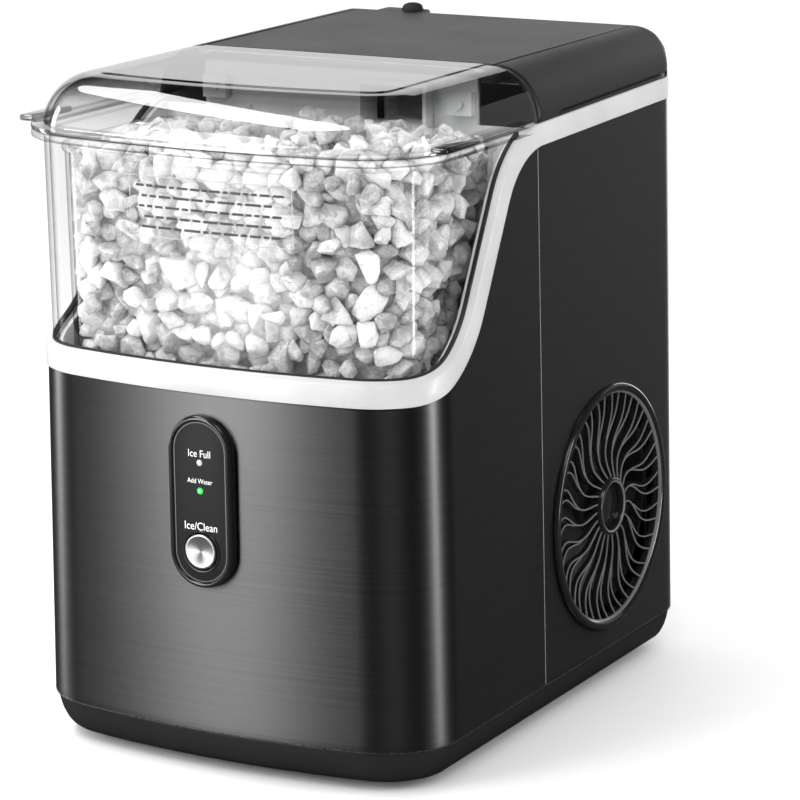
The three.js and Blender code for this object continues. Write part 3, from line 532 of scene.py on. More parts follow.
front = skin("front_wrap", columns(lambda c: c.y <= FRONT_END_Y + 0.01), panel_section(FRONT_END_Y))
behind_seam = columns(lambda c: c.y >= SIDE_START_Y - 0.01 and abs(c.x) > 90)
right = skin("right_side", [c for c in behind_seam if c.x > 0], panel_section(SIDE_START_Y))
left = skin("left_side", [c for c in behind_seam if c.x < 0], panel_section(SIDE_START_Y))
opening = GRILLE_R - 3.5
through = [(0, -20), (opening, -20), (opening, 20), (0, 20)]
cut_hole(right, lathe("cutter", through, (HALF_W, FAN_Y, FAN_Z), "x", 96))
for i in range(VENT_SLOTS):
    y = VENT_Y + VENT_PITCH * i
    low, high = (-HALF_W - 20, y, VENT_Z[0]), (-HALF_W + 15, y + VENT_WIDE, VENT_Z[1])
    cut_hole(left, rounded_box("cutter", low, high, 1.4))
for obj in (front, right, left):
    piece(obj, STEEL_BLACK, obj.name + "_panel")


def seam_section(c):
    top = band_z(c.y, -0.4)
    return [(0.02, METAL_Z + 0.5), (0.02, top), (0.9, top), (0.9, METAL_Z + 0.5)]


# A thin pale strip down each front-to-side seam: a painted highlight on the panel's bent edge.
for side, hand in SIDES:
    line = skin(f"seam_line_{side}", columns(lambda c: abs(c.y - SEAM_Y) < 0.35 and c.x * hand > 0), seam_section)
    piece(line, SEAM_HIGHLIGHT_GREY)

# ---- Trim band, seal and base ----
# The band's and seal's sections are (inset, height square to the band's lower edge), the base's (inset, z).
BAND_PROFILE = [(4.9, 0.4), (-0.2, 0.0), (-0.75, 0.2), (-1.0, 0.8), (-1.0, 5.0), (-1.0, 10.4), (-0.8, 11.1),
                (-0.3, 11.55), (0.5, 12.0), (2.1, 12.9), (2.3, 13.1), (2.4, 11.5), (4.9, 11.3)]
SEAL_PROFILE = [(2.35, 12.0), (2.35, 13.9), (2.6, 14.3), (3.0, 14.2), (4.4, 13.9), (4.4, 12.0)]


def along_band(profile):
    return lambda c: [(inset, band_z(c.y - c.ny * inset, offset)) for inset, offset in profile]


def band_section(c):
    """The band's lip is only where the window stands on it; behind the lid it is plain."""
    lip = min(1.0, max(0.0, (FLANGE_END_Y - c.y) / 6.0))
    return [(inset, band_z(c.y - c.ny * inset, min(offset, BAND_W) + lip * max(0.0, offset - BAND_W)))
            for inset, offset in BAND_PROFILE]


piece(skin("trim_band_visual", LOOP, band_section, loop=True), TRIM, "trim_band")
seal_columns = columns(lambda c: c.y <= FLANGE_END_Y)
piece(skin("window_gasket", seal_columns, along_band(SEAL_PROFILE)), RUBBER, "window_seal")

BASE_PROFILE = [(14, 4.0), (11.6, 4.15), (9.4, 5.0), (7.6, 6.4), (6.0, 8.3), (4.6, 10.8), (3.4, 13.4), (2.6, 15.8),
                (2.0, 18.2), (1.6, 20.4), (1.4, 22.0), (1.6, 22.6), (2.2, 22.9), (9, 22.9)]
EDGE_PROFILE = [(0.15, 22.55), (-0.15, 22.7), (-0.2, 22.95), (0.15, 23.05)]
base = skin("base_visual", LOOP, lambda c: BASE_PROFILE, loop=True, closed=False)
piece(base, BASE_BLACK, "base_tray")
# A thin bright metal strip round the panels' foot: a painted highlight along that edge.
piece(skin("metal_foot_highlight", LOOP, lambda c: EDGE_PROFILE, loop=True), EDGE_HIGHLIGHT_METAL)

# ---- Window ----
WINDOW_THICK = 2.5
WINDOW_FLANGE = [(-5.2, 3.3), (-5.8, 3.0), (-6, 2.3), (-6, 1.2), (-5.8, 0.6), (-5.2, 0.3), (1.8, 0.3), (2.4, 0.8),
                 (2.8, 3)]  # (inset, drop below the rim)


def wall_inset(z):
    """How far the window's outer face stands in at height z: 3 mm at its foot, 0.3 mm at its top."""
    return 3.0 - (z - 196.0) * 2.7 / 117.0


def window_section(c):
    low = min(band_z(c.y, BAND_W + 2.1), RIM_Z - 3.7)
    span = RIM_Z - 3.4 - low
    outer = [(wall_inset(low + span * k / 4), low + span * k / 4) for k in range(5)]
    flange = [(inset, RIM_Z - drop) for inset, drop in WINDOW_FLANGE]
    inner = [(wall_inset(z) + WINDOW_THICK, z) for z in (low + span * 0.7, low + span * 0.35, low)]
    return outer + flange + inner


window = skin("front_window_visual", columns(lambda c: c.y <= FLANGE_END_Y), window_section, smooth=50)
piece(window, WINDOW_CLEAR, "front_window")


def on_window(x, z, out):
    """A point out beyond the window's front."""
    y = FRONT_Y + BOW_R - sqrt((BOW_R - wall_inset(z) + out) ** 2 - x * x)
    return x, y, z


def sheet_patch(name, x0, x1, z0, z1, steps, out):
    """A thin patch that lies along the window, in steps across its curve."""
    bm = bmesh.new()
    grid(bm, [[on_window(x0 + (x1 - x0) * i / steps, z, out) for i in range(steps + 1)] for z in (z0, z1)])
    return finish_mesh(name, bm, flip=False)


# The sticker: its outline, and rows of plain bars in place of words.
LABEL_X, LABEL_Z, LINE, LABEL_OUT = (-40, 51), (271, 301), 0.22, 0.15
BAR_ROWS, BAR_TOP_Z, BAR_PITCH, BAR_HALF, BAR_GAP, BAR_OUT = 5, 296.2, 5.1, 0.62, 1.5, 0.25
strips = [sheet_patch("rim", *LABEL_X, z - LINE, z + LINE, 24, LABEL_OUT) for z in LABEL_Z]
strips += [sheet_patch("side", x - LINE, x + LINE, *LABEL_Z, 1, LABEL_OUT) for x in LABEL_X]
piece(join_objects("clear_sticker_edge", strips), STICKER_EDGE)
dice = random.Random(7)
bars = []
for row in range(BAR_ROWS):
    z = BAR_TOP_Z - row * BAR_PITCH
    x, end = -36 + (row * 3.1) % 5, 47 - (row * 5.3) % 9
    while x < end - 3:
        length = min(dice.uniform(2.4, 9.5), end - x)
        bars.append(sheet_patch("bar", x, x + length, z - BAR_HALF, z + BAR_HALF, 3, BAR_OUT))
        x += length + BAR_GAP
piece(join_objects("sticker_lines", bars), INK)

# ---- Lid ----
LID_THICK = 3.0
HOOD_STEPS = 14
LID_FOOT_Z = RIM_Z + 0.3
# The raised pad on the lid's top, as (inset, z).
LID_PAD = [(28.2, TOP_Z), (28.8, TOP_Z + 0.1), (29.4, TOP_Z + 0.55), (30.2, TOP_Z + 0.7), (31.5, TOP_Z + 0.7)]
GRIP_OUT, BARREL_HALF, BARREL_R = 4.2, 84, 3


def hood_rings(thick, z0):
    """(inset, z) up the shoulder of the hood, thick inside its outer surface."""
    rings = [(thick, z0)]
    for i in range(HOOD_STEPS + 1):
        a = pi / 2 * i / HOOD_STEPS
        inset = thick + (SHOULDER - thick) * (1 - cos(a))
        rings.append((inset, RIM_Z + (TOP_Z - RIM_Z - thick) * sin(a)))
    return [r for r in rings if r[1] >= z0 - 1e-6]


def lid_shell():
    """The lid's hood: an outer and an inner skin, joined along its foot and its open rear end."""
    cols = columns(lambda c: c.y <= LID_BACK_Y + 0.01)
    outer = hood_rings(0, LID_FOOT_Z) + LID_PAD
    inner = hood_rings(LID_THICK, LID_FOOT_Z)
    bm = bmesh.new()
    out_verts = grid(bm, [[c.at(*p) for p in outer] for c in cols])
    in_verts = grid(bm, [[c.at(*p) for p in inner] for c in cols])
    n = len(cols)
    for verts in (out_verts, in_verts):
        for i in range(n // 2):
            across = (verts[i][-1], verts[i + 1][-1], verts[n - 2 - i][-1], verts[n - 1 - i][-1])
            ring = list(dict.fromkeys(across))
            if len(ring) > 2:
                bm.faces.new(ring)
    for i in range(n - 1):
        bm.faces.new((out_verts[i][0], in_verts[i][0], in_verts[i + 1][0], out_verts[i + 1][0]))
    for end in (0, n - 1):
        for i in range(len(inner) - 1):
            bm.faces.new((out_verts[end][i], out_verts[end][i + 1], in_verts[end][i + 1], in_verts[end][i]))
    bm.faces.new((out_verts[0][-1], out_verts[-1][-1], in_verts[-1][-1], in_verts[0][-1]))
    return finish_mesh("lid_shell", bm, 50)


def flange_section(c):
    return [(inset, RIM_Z + up) for inset, up in (
        (1.0, 0.3), (-5.3, 0.3), (-5.85, 0.65), (-6, 1.2), (-6, 2.2), (-5.8, 2.8), (-5.2, 3.0), (-0.6, 3.0),
        (0.2, 3.5), (1.0, 4.6))]


barrel = [(0, -BARREL_HALF), (BARREL_R - 0.4, -BARREL_HALF), (BARREL_R, 0.4 - BARREL_HALF),
          (BARREL_R, BARREL_HALF - 0.4), (BARREL_R - 0.4, BARREL_HALF), (0, BARREL_HALF)]
piece(lid_shell(), LID_CLEAR, "lid", body="lid")
piece(skin("lid_flange", columns(lambda c: c.y <= FLANGE_END_Y), flange_section), LID_CLEAR, body="lid")
for side, hand in SIDES:
    x = hand * (HALF_W + GRIP_OUT)
    low, high = (x - 4.5, -126, RIM_Z + 1.8), (x + 4.5, -91, RIM_Z + 5.0)
    piece(rounded_box(f"lid_grip_{side}", low, high, 1.3), TAB_CLEAR_PAINTED_DARK, body="lid")
piece(lathe("lid_barrel", barrel, (0, HINGE_Y, HINGE_Z), "x", 24), LID_CLEAR, body="lid")

# ---- Rear top cover ----
COVER_NOTCH_Y, COVER_NOTCH_Z = -9.3, 341.0  # the cover's front edge stands back here, clear of the open lid
COVER_FOOT = BAND_W + 0.3
ROUND_Y = BACK_Y - REAR_R  # where the rear corners start
HOSE_HOLE_R = 6.3


def cover():
    """The cover's shell, in sections from front to rear."""
    stations = [COVER_FRONT_Y + (ROUND_Y - COVER_FRONT_Y) * i / 30 for i in range(31)]
    stations += [ROUND_Y + REAR_R * sin(pi / 2 * i / 14) for i in range(1, 15)]
    rings = hood_rings(0, RIM_Z) + [(SHOULDER + 0.9, TOP_Z), (SHOULDER + 3, TOP_Z)]
    rows = []
    for y in stations:
        into = max(0.0, y - ROUND_Y)
        limit = HALF_W - REAR_R + sqrt(max(0.0, REAR_R**2 - into**2))
        foot = band_z(y, COVER_FOOT)
        half = []
        for inset, z in [(0, foot), *rings]:
            stretch = 1 + SIDE_DRAFT * (DRAFT_Z - z) / HALF_W
            notched = y == COVER_FRONT_Y and z > COVER_NOTCH_Z
            half.append((min(HALF_W - inset, limit) * stretch, COVER_NOTCH_Y if notched else y, max(z, foot)))
        rows.append(half + [(-x, y, z) for x, y, z in reversed(half)])
    bm = bmesh.new()
    bm.faces.new(grid(bm, rows)[-1])
    obj = finish_mesh("rear_top_cover_visual", bm)
    solid = obj.modifiers.new("thickness", "SOLIDIFY")
    solid.thickness = 2.5 * MM
    solid.offset = -1
    return obj


piece(cover(), COVER_BLACK, "rear_top_cover")
for side, hand in SIDES:
    x = hand * 88.1
    ear = rounded_box(f"hinge_ear_{side}", (x - 3.3, -19, HINGE_Z - 5), (x + 3.3, 3, HINGE_Z + 2.6), 1.0)
    piece(ear, COVER_BLACK)
    x = hand * (HALF_W - SHOULDER - 1.7)
    low, high = (x - 0.5, -10, TOP_Z - 0.25), (x + 0.5, 150, TOP_Z + 0.35)
    piece(rounded_box(f"cover_edge_line_{side}", low, high, 0.25), COVER_BLACK)
clip = rounded_box("hose_clip", (-74, BACK_Y - 1, 334), (-46, 168, TOP_Z), 1.6)
bore = [(0, -20), (HOSE_HOLE_R, -20), (HOSE_HOLE_R, 20), (0, 20)]
cut_hole(clip, lathe("cutter", bore, (HOSE_X, HOSE_Y, TOP_Z), "z", 48))
piece(clip, COVER_BLACK)

# ---- Fan grille ----
GRILLE_SIDES, RIBS = 128, 22
RIB_IN, RIB_SPAN, BRANCH_OUT = 15, 46, 61.2
# The grille's rim and hub as (radius, out), and which of each one's strips are pale: painted highlights along
# their edges.
RIM_PROFILE = [(66, 0.1), (65.9, 1.4), (65.2, 2.3), (64, 2.6), (62.4, 2.3), (61.5, 1.6), (60.9, 1.0), (60.5, 0.2),
               (60.2, -3.4), (61.4, -3.6), (62.2, 0.0)]
HUB_PROFILE = [(12.9, -2.5), (12.9, 1.9), (13.3, 2.4), (13.9, 2.5), (14.6, 2.5), (15.3, 1.9), (15.6, 0.6),
               (15.6, -3.6), (12.9, -3.6)]
HUB_DISC = [(0.01, -1.4), (6, -1.5), (12.6, -1.9), (13.1, -3.0)]
RIM_HIGHLIGHT_STRIPS, HUB_HIGHLIGHT_STRIPS, RIB_HIGHLIGHT_STRIPS = (5, 6), (1, 2), (1, 2, 3)


def on_side(r, a, out):
    """A point at radius r and angle a of the grille, out beyond the side panel."""
    lean = atan(SIDE_DRAFT)
    x = HALF_W + SIDE_DRAFT * (DRAFT_Z - FAN_Z) + out * cos(lean)
    y, z = r * cos(a), r * sin(a)
    return x - z * sin(lean), FAN_Y + y, FAN_Z + z * cos(lean) + out * sin(lean)


def highlight_strip_grid(bm, rows, pale, **wraps):
    """A grid whose strips numbered in pale take the piece's second material, pale grey painted highlights."""
    before = set(bm.faces)
    grid(bm, rows, wrap=True, **wraps)
    for k, f in enumerate(f for f in bm.faces if f not in before):
        f.material_index = 1 if k % len(rows[0]) in pale else 0


def dish(r):
    """How far out the ribs' crests lie at radius r: the grille is hollowed like a dish."""
    t = (r - RIB_IN) / RIB_SPAN
    return 0.6 - 3.2 * sin(pi * min(1, max(0, t))) ** 0.8


def sway(r):
    """How far, in radians, a rib swings to the side at radius r."""
    t = (r - RIB_IN) / RIB_SPAN
    return 0.17 * sin(2 * pi * 0.95 * t) * (0.35 + 0.65 * (1 - t))


def rib(bm, points, width):
    """A curved rib through (radius, angle) points, width to each side of them."""
    crest = width * 0.6
    section = [(-width, -3.0), (-width, -0.5), (-crest, 0.0), (crest, 0.0), (width, -0.5), (width, -3.0)]
    rows = []
    for k, (r, a) in enumerate(points):
        r0, a0 = points[max(k - 1, 0)]
        r1, a1 = points[min(k + 1, len(points) - 1)]
        dy = r1 * cos(a1) - r0 * cos(a0)
        dz = r1 * sin(a1) - r0 * sin(a0)
        length = hypot(dy, dz)
        row = []
        for w, out in section:
            y, z = r * cos(a) - w * dz / length, r * sin(a) + w * dy / length
            row.append(on_side(hypot(y, z), atan2(z, y), dish(r) + out))
        rows.append(row)
    highlight_strip_grid(bm, rows, RIB_HIGHLIGHT_STRIPS)


def grille():
    """The fan grille: a rim and a hub, with long wavy ribs between them and a shorter branch beside each, with
    painted highlights in pale grey on the ribs' crests and the rim's and hub's edges.
    """
    bm = bmesh.new()
    for profile, pale in ((RIM_PROFILE, RIM_HIGHLIGHT_STRIPS), (HUB_PROFILE, HUB_HIGHLIGHT_STRIPS)):
        rows = [[on_side(r, 2 * pi * i / GRILLE_SIDES, out) for r, out in profile] for i in range(GRILLE_SIDES)]
        highlight_strip_grid(bm, rows, pale, wrap_rows=True)
    grid(bm, [[on_side(r, 2 * pi * i / 64, out) for r, out in HUB_DISC] for i in range(64)], wrap_rows=True)
    for i in range(RIBS):
        base = 2 * pi * i / RIBS
        radii = [15.2 + RIB_SPAN * k / 26 for k in range(27)]
        rib(bm, [(r, base + sway(r) - 0.045 * (k / 26) ** 2) for k, r in enumerate(radii)], 0.5)
        start = 30 + 4 * (i % 2)
        branch = []
        for k in range(19):
            r = start + (BRANCH_OUT - start) * k / 18
            spread = pi / RIBS * (k / 18) ** 0.75
            branch.append((r, base + sway(r) + spread - 0.045 * ((r - 15.2) / RIB_SPAN) ** 2))
        rib(bm, branch, 0.45)
    obj = finish_mesh("side_grille_visual", bm, 45, flip=False)
    for material in (GLOSS_BLACK, OUTLINE_AND_HIGHLIGHT_GREY):
        obj.data.materials.append(material)
    return obj


piece(grille(), GLOSS_BLACK, "side_fan_grille")

# ---- Control panel ----
PILL_STEPS = 20
# Rings of the pill as (inset, y), and turned sections round the button as (radius, distance from the face).
BEZEL_RINGS = [(inset, FRONT_Y - out) for inset, out in (
    (0.25, -0.6), (0, 0.2), (0, 3.0), (0.25, 4.0), (0.9, 4.75), (1.7, 5.0), (2.4, 4.85), (2.9, 4.3), (3.1, 3.2),
    (3.1, 0.5))]
OUTLINE_RINGS = [(3.25, FACE_Y + 0.3), (3.25, FACE_Y - 0.12), (3.7, FACE_Y - 0.12), (3.7, FACE_Y + 0.3)]
FACE_RINGS = [(3.3, FRONT_Y - 0.6), (3.3, FACE_Y + 0.5), (3.55, FACE_Y + 0.1), (4.0, FACE_Y)]
WELL_R = BUTTON_R + 0.45
WELL = [(WELL_R, 4.0), (WELL_R, -0.3), (BUTTON_R + 0.8, -0.75), (BUTTON_R + 1.35, -0.8), (BUTTON_R + 1.7, -0.4),
        (BUTTON_R + 1.8, 0.2)]
BUTTON = [(0, 5.5), (BUTTON_R, 5.5), (BUTTON_R, -0.9), (BUTTON_R - 0.25, -1.3), (BUTTON_R - 0.7, -1.5),
          (BUTTON_R - 1.2, -1.45), (0.0, -0.75)]
LAMP = [(1.6, 3), (1.6, -0.1), (1.3, -0.4), (0.7, -0.55), (0, -0.6)]


def pill_ring(width, height, y):
    """A ring of points round a tall pill shape."""
    r = width / 2
    straight = height / 2 - r
    ring = []
    for start, middle in ((0, PILL_Z + straight), (pi, PILL_Z - straight)):
        for i in range(PILL_STEPS + 1):
            a = start + pi * i / PILL_STEPS
            ring.append((r * cos(a), y, middle + r * sin(a)))
    return ring


def pill_piece(name, rings, cap_last=False):
    bm = bmesh.new()
    verts = grid(bm, [pill_ring(PILL_W - 2 * inset, PILL_H - 2 * inset, y) for inset, y in rings], wrap=True)
    if cap_last:
        bm.faces.new(verts[-1])
    return finish_mesh(name, bm)


piece(pill_piece("control_bezel_visual", BEZEL_RINGS), GLOSS_BLACK, "control_bezel")
piece(pill_piece("face_outline", OUTLINE_RINGS), OUTLINE_AND_HIGHLIGHT_GREY)
face = pill_piece("control_face_visual", FACE_RINGS, cap_last=True)
button_centre = (0, FACE_Y, BUTTON_Z)
cut_hole(face, lathe("cutter", [(0, -12), (WELL_R, -12), (WELL_R, 12), (0, 12)], button_centre, "y", 64))
piece(face, FACE_BLACK, "control_face")
piece(lathe("button_ring", WELL, button_centre, "y", 72), GLOSS_BLACK)
piece(lathe("power_button_cap", BUTTON, button_centre, "y", 96), BUTTON_METAL, "power_button", body="button")
for name, z, material in (("ice_full", FULL_LAMP_Z, GREY_LAMP), ("add_water", WATER_LAMP_Z, GREEN_LAMP)):
    lens = lathe(f"{name}_lamp", LAMP, (0, FACE_Y, z), "y", 32)
    piece(lens, material, f"{name}_light_lens")


def label(name, words, z, width):
    """A caption, width across, that stands just proud of the panel's face at height z."""
    curve = bpy.data.curves.new(name, "FONT")
    curve.body = words
    curve.align_x = "CENTER"
    curve.align_y = "CENTER"
    curve.size = 0.005
    obj = new_object(name, curve)
    mesh = evaluated_mesh(obj)
    bpy.data.objects.remove(obj)
    wide = max(v.co.x for v in mesh.vertices) - min(v.co.x for v in mesh.vertices)
    scale = width * MM / wide
    spot = place(0, FACE_Y - 0.12, z)
    for v in mesh.vertices:
        v.co = Vector((v.co.x * scale + spot.x, spot.y, v.co.y * scale * 1.12 + spot.z))
    piece(new_object(name, mesh), PRINT)


label("label_full", "Ice Full", 166.4, 12.6)
label("label_water", "Add Water", 152.6, 14.4)
label("label_start", "Ice/Clean", 129.5, 18.6)

# ---- Ice basket ----
BASKET_Z = 194
BASKET_BACK_Y, BASKET_CORNER_R = -16, 18.0
BASKET_FRONT = columns(lambda c: c.y <= -50)  # the basket follows the body's outline as far back as this


def inset_basket(z):
    """How far the basket's wall stands in from the body's outline at height z."""
    return 13.5 - 3.1 * (z - BASKET_Z) / 114.0


def basket_ring(inset, z):
    """A ring round the basket, with its rear wall straight across and rounded rear corners."""
    points = [c.at(inset, z) for c in BASKET_FRONT]
    r, back = BASKET_CORNER_R, BASKET_BACK_Y - inset
    x = points[-1][0] - r
    turns = [pi / 2 * k / 8 for k in range(9)]
    corner = [(x + r * cos(a), back - r + r * sin(a), z) for a in turns]
    rear = [(x - 2 * x * k / 8, back, z) for k in range(1, 8)]
    return points + corner + rear + [(-x, y, z) for x, y, z in reversed(corner)]


def basket():
    """The basket's clear wall: up its outside, over its rim and down its inside."""
    foot = inset_basket(196)
    outline_at = [(inset_basket(BASKET_Z) + 2.0, BASKET_Z), (inset_basket(BASKET_Z) + 0.6, 194.4), (foot, 196.0)]
    outline_at += [(inset_basket(z), z) for z in (220, 250, 280, 304.6)]
    outline_at += [(9.2, 305), (9.0, 305.6), (9.0, 307.5), (9.3, 308), (12.2, 308), (12.5, 307.6)]
    outline_at += [(inset_basket(z) + 2, z) for z in (300, 280, 250, 220)]
    outline_at += [(foot + 2.3, 197.0), (foot + 4, 196.2)]
    return capped("ice_basket_visual", [basket_ring(inset, z) for inset, z in outline_at], 50)


piece(basket(), BASKET_CLEAR, "ice_basket", body="basket")

# ---- Ice ----
PITCH, JITTER = 10.4, 2.5  # of the ice's layers
LUMP_SIZES = (5.6, 6.4, 7.2, 8.2, 9.6)
WALL, FLOOR_Z, ICE_BACK_Y = 2.3, 196.3, -27.5  # the space the basket leaves for ice


def random_way(rng):
    return Vector((rng.gauss(0, 1), rng.gauss(0, 1), rng.gauss(0, 1))).normalized()


def nugget(rng):
    """A lump of crushed ice of unit size: a many-sided chunk with its edges taken off."""
    bm = bmesh.new()
    stretch = Vector((rng.uniform(0.95, 1.3), rng.uniform(0.8, 1.05), rng.uniform(0.75, 1.0)))
    for _ in range(rng.randint(13, 19)):
        way = random_way(rng) * rng.uniform(0.85, 1.1)
        bm.verts.new((way.x * stretch.x, way.y * stretch.y, way.z * stretch.z))
    hull = bmesh.ops.convex_hull(bm, input=bm.verts)
    buried = [g for g in hull["geom_interior"] if isinstance(g, bmesh.types.BMVert)]
    bmesh.ops.delete(bm, geom=buried, context="VERTS")
    bmesh.ops.bevel(bm, geom=bm.edges, offset=0.055, segments=1, affect="EDGES")
    seed = Vector((rng.uniform(0, 50), rng.uniform(0, 50), rng.uniform(0, 50)))
    points = [v.co * (1 + 0.14 * noise.noise(v.co * 2.6 + seed)) for v in bm.verts]
    faces = [[v.index for v in f.verts] for f in bm.faces]
    bm.free()
    return points, faces


def inside(x, y, inset):
    """True if the point is within the body's outline drawn in by inset."""
    bow_y = FRONT_Y + BOW_R
    if abs(x) > HALF_W - inset or hypot(x, y - bow_y) > BOW_R - inset:
        return False
    cx = HALF_W - CORNER_R
    cy = bow_y - sqrt((BOW_R - CORNER_R) ** 2 - cx**2)
    if abs(x) > cx and y < cy:
        return hypot(abs(x) - cx, y - cy) < CORNER_R - inset
    return True


def heap_height(x, y):
    """Top of the ice, which is heaped towards the middle and right under the chute."""
    far = hypot((x - 22) / 95, (y + 88) / 62)
    return 303 + 17 * exp(-far * far * 1.1) + 4 * noise.noise(Vector((x * 0.03, y * 0.03, 2.0)))


def in_basket(x, y, z):
    """True if the point is in the basket's space."""
    return y < ICE_BACK_Y and z > FLOOR_Z and inside(x, y, inset_basket(min(z, 304)) + WALL)


def wanted(x, y, z, size):
    """True if a lump belongs there: within the basket and the heap, and not deep behind the others."""
    top = heap_height(x, y)
    wall = inset_basket(min(z, 304)) + WALL
    if not inside(x, y, wall + size * 0.4) or y > ICE_BACK_Y - 0.5 - size * 0.4 or z + size * 0.5 > top + 4:
        return False
    return not (inside(x, y, wall + size + 17) and y < -52 and z < top - 24)


def ice():
    """Lumps in jittered layers, each drawn in where it would pass the basket."""
    rng = random.Random(11)
    shapes = [nugget(rng) for _ in range(24)]
    points, faces, tones = [], [], []
    layer = 0
    level = 201.0
    while level < 334:
        shift = (layer % 2) * PITCH / 2
        for i in range(-11, 12):
            for j in range(-15, 0):
                x = i * PITCH + shift + rng.uniform(-JITTER, JITTER)
                y = j * PITCH + shift + rng.uniform(-JITTER, JITTER) + 4
                z = level + rng.uniform(-JITTER, JITTER)
                size = rng.choice(LUMP_SIZES) * rng.uniform(0.93, 1.1)
                if not wanted(x, y, z, size):
                    continue
                shape_points, shape_faces = shapes[rng.randrange(len(shapes))]
                pole = random_way(rng)
                turn = Matrix.Rotation(rng.uniform(0, 6.28), 3, pole)
                start = len(points)
                for p in shape_points:
                    q = turn @ p * size
                    reach = 1.0
                    while reach > 0.3 and not in_basket(x + q.x * reach, y + q.y * reach, z + q.z * reach):
                        reach -= 0.07
                    points.append(place(x + q.x * reach, y + q.y * reach, z + q.z * reach))
                faces.extend([[start + k for k in f] for f in shape_faces])
                tones.extend([rng.random()] * len(shape_points))
        level += PITCH * 0.8
        layer += 1
    mesh = bpy.data.meshes.new("ice_nuggets")
    mesh.from_pydata(points, [], faces)
    mesh.attributes.new("tone", "FLOAT", "POINT").data.foreach_set("value", tones)
    mesh.shade_smooth()
    mesh.set_sharp_from_angle(angle=radians(20))
    return new_object("ice_nuggets", mesh)


def ice_core():
    """The packed ice behind the outer lumps, so that no gap between them looks into an empty basket."""
    depth, middle_y = 13, -92

    def ring(z):
        points = [c.at(inset_basket(z) + depth, z)[:2] for c in BASKET_FRONT]
        return points + [(points[-1][0], -38.0), (0.0, -36.0), (points[0][0], -38.0)]

    rows = [[(x, y, z) for x, y in ring(z)] for z in (199, 230, 262, 292)]
    for shrink in (1.0, 0.75, 0.45, 0.15):
        drawn = [(x * shrink, middle_y + (y - middle_y) * shrink) for x, y in ring(300)]
        rows.append([(x, y, heap_height(x, y) - 9) for x, y in drawn])
    return capped("ice_core", rows, 60)


piece(ice(), ICE, body="basket")
piece(ice_core(), ICE, body="basket")

# ---- Drain hose end ----
CAP_DOME = [(0, 338.3), (5.2, 338.3), (5.9, 338.9), (5.9, 343.6), (5.5, 345.2), (4.4, 346.3), (2.6, 346.9),
            (0, 347)]
piece(lathe("drain_cap_visual", CAP_DOME, (HOSE_X, HOSE_Y, 0), "z", 40), RUBBER, "drain_cap", body="hose_cap")

# ---- Materials of the CAD nodes that stay ----
CAD_MATERIALS = {
    BASE_BLACK: ["rear_panel", "power_cord_gland", "button_switch", "water_pump", "gearbox_housing", "fan_shroud",
                 "fan_motor", "condenser_fan", "drain_outlet"],
    RUBBER: [f"foot_{end}_{side}" for end in ("front", "rear") for side in ("left", "right")],
    LINER_WHITE: ["bin_liner", "ice_chute", "water_tank", "float_stem", "ice_outlet_head",
                  "ice_full_sensor_left", "ice_full_sensor_right"],
    STEEL: [f"{what}_{side}" for what in ("rear_screw_lower", "rear_screw_upper", "lid_hinge_pin")
            for side in ("left", "right")] + ["auger", "gearbox_cover", "auger_motor", "freezing_barrel"],
    FINS: ["condenser"],
    ENAMEL: ["compressor"],
    COPPER: ["discharge_tube", "suction_tube"],
    FOAM: ["barrel_insulation"],
    BOARD: ["control_board"],
    GEAR: ["auger_drive_gear", "motor_pinion"],
    MILKY: ["drain_hose", "water_float", "water_feed_tube"],
}
for material, nodes in CAD_MATERIALS.items():
    for node in nodes:
        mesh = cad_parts[node].data
        mesh.materials.clear()
        mesh.materials.append(material)
        mesh.shade_smooth()
        mesh.set_sharp_from_angle(angle=radians(32))

# ---- Floor, light and camera ----
bm = bmesh.new()
bmesh.ops.create_grid(bm, x_segments=2, y_segments=2, size=6.0)
floor = finish_mesh("floor", bm, flip=False)
floor_look = Shader("floor_pale", Roughness=0.6)
mottle = floor_look.noise(floor_look.place_of(), 3.0, 3)
pale = floor_look.greys(mottle, (0.3, 0.93), (0.7, 0.95))
# Glossy rays see the floor nearly black, so it shows dark in the machine's reflections: a painted reflection.
mirrored = floor_look.add("LightPath").outputs["Is Glossy Ray"]
shade = floor_look.add("Mix", {0: mirrored, 6: pale, 7: (*grey(0.02), 1)}, data_type="RGBA")
floor_look.set(floor_look.main, {"Base Color": shade.outputs[2]})
paint(floor, floor_look.material)


def softbox(name, spot, target, size, radiance):
    """A softbox at spot that faces target, in metres, which the camera itself doesn't see."""
    data = bpy.data.lights.new(name, "AREA")
    data.shape = "RECTANGLE"
    data.size, data.size_y = size
    data.energy = radiance * size[0] * size[1] * pi
    obj = new_object(name, data)
    obj.location = spot
    obj.rotation_euler = (Vector(target) - Vector(spot)).to_track_quat("-Z", "Y").to_euler()
    obj.visible_camera = False


def standing(name, start, azimuth, far, width, top, radiance):
    """A softbox on the floor, far from start (x, y), at azimuth degrees from the front round to the right."""
    a = radians(azimuth)
    x, y, z = start[0] + far * sin(a), start[1] - far * cos(a), top / 2 + 0.005
    softbox(name, (x, y, z), (*start, z), (width, top), radiance)


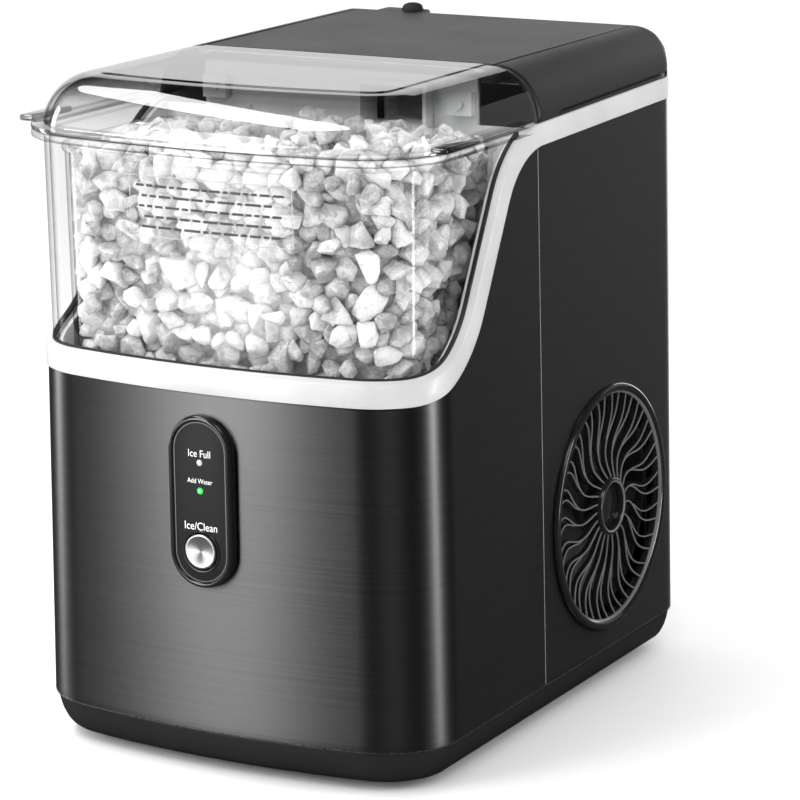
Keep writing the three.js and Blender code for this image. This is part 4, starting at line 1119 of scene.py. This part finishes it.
standing("front_wide", (0.0, -0.155), -32, 0.75, 0.45, 0.60, 2.3)
standing("front_core", (0.0, -0.155), -28, 0.74, 0.27, 0.60, 4.2)
standing("left_strip", (-0.10, -0.13), -86, 0.75, 0.16, 0.60, 7.0)
standing("right_strip", (0.11, -0.11), 106, 0.70, 0.085, 0.60, 14.0)
standing("corner_strip", (0.11, 0.14), 182, 0.9, 0.3, 0.6, 2.2)
softbox("ice_fill", (0.70, -0.80, 1.45), (0.03, -0.12, 0.24), (0.7, 0.7), 2.6)
standing("side_wall", (0.11, 0.05), 156, 1.9, 0.8, 1.1, 0.32)
standing("rear_wall", (0.0, 0.0), 200, 3.5, 4.6, 2.0, 0.85)
softbox("shoulder_strip", (-0.57, -0.40, 1.23), (0.0, -0.13, 0.33), (1.5, 0.27), 8.0)

# The sky is white to the camera, nearly black in reflections, and bright enough to fill in the shade.
SEEN, REFLECTED, FILL = 1.0, 0.04, 0.95
world = bpy.data.worlds.new("studio")
bpy.context.scene.world = world
world.use_nodes = True
sky = world.node_tree
strength = FILL
for ray, value in (("Is Glossy Ray", REFLECTED), ("Is Camera Ray", SEEN)):
    pick = sky.nodes.new("ShaderNodeMix")
    sky.links.new(sky.nodes.new("ShaderNodeLightPath").outputs[ray], pick.inputs[0])
    pick.inputs[3].default_value = value
    if strength is FILL:
        pick.inputs[2].default_value = FILL
    else:
        sky.links.new(strength, pick.inputs[2])
    strength = pick.outputs[0]
sky.nodes["Background"].inputs["Color"].default_value = (1, 1, 1, 1)
sky.links.new(strength, sky.nodes["Background"].inputs["Strength"])

# The camera, from the machine's own edges: azimuth and elevation in degrees, distance and offsets in millimetres.
AZIMUTH, ELEVATION, ROLL = radians(29.17), radians(13.68), radians(-0.64)
DISTANCE, SIDE_OFFSET, UP_OFFSET, TARGET_Z = 1856.83, 21.77, -1.6, 161.0
SENSOR = 36.0
FOCAL = 3533.67 / 800 * SENSOR
level = cos(ELEVATION)
behind = Vector((sin(AZIMUTH) * level, -cos(AZIMUTH) * level, sin(ELEVATION)))
across = Vector((0, 0, 1)).cross(behind).normalized()
upward = behind.cross(across)
across, upward = (across * cos(ROLL) + upward * sin(ROLL),
                  upward * cos(ROLL) - across * sin(ROLL))
eye = Vector((0, 0, TARGET_Z)) + across * SIDE_OFFSET + upward * UP_OFFSET + behind * DISTANCE
camera_data = bpy.data.cameras.new("camera")
camera_data.sensor_width = SENSOR
camera_data.lens = FOCAL
camera = new_object("camera", camera_data)
camera.matrix_world = Matrix.Translation(place(*eye)) @ Matrix((across, upward, behind)).transposed().to_4x4()
bpy.context.scene.camera = camera
bpy.context.scene.view_settings.view_transform = "Standard"
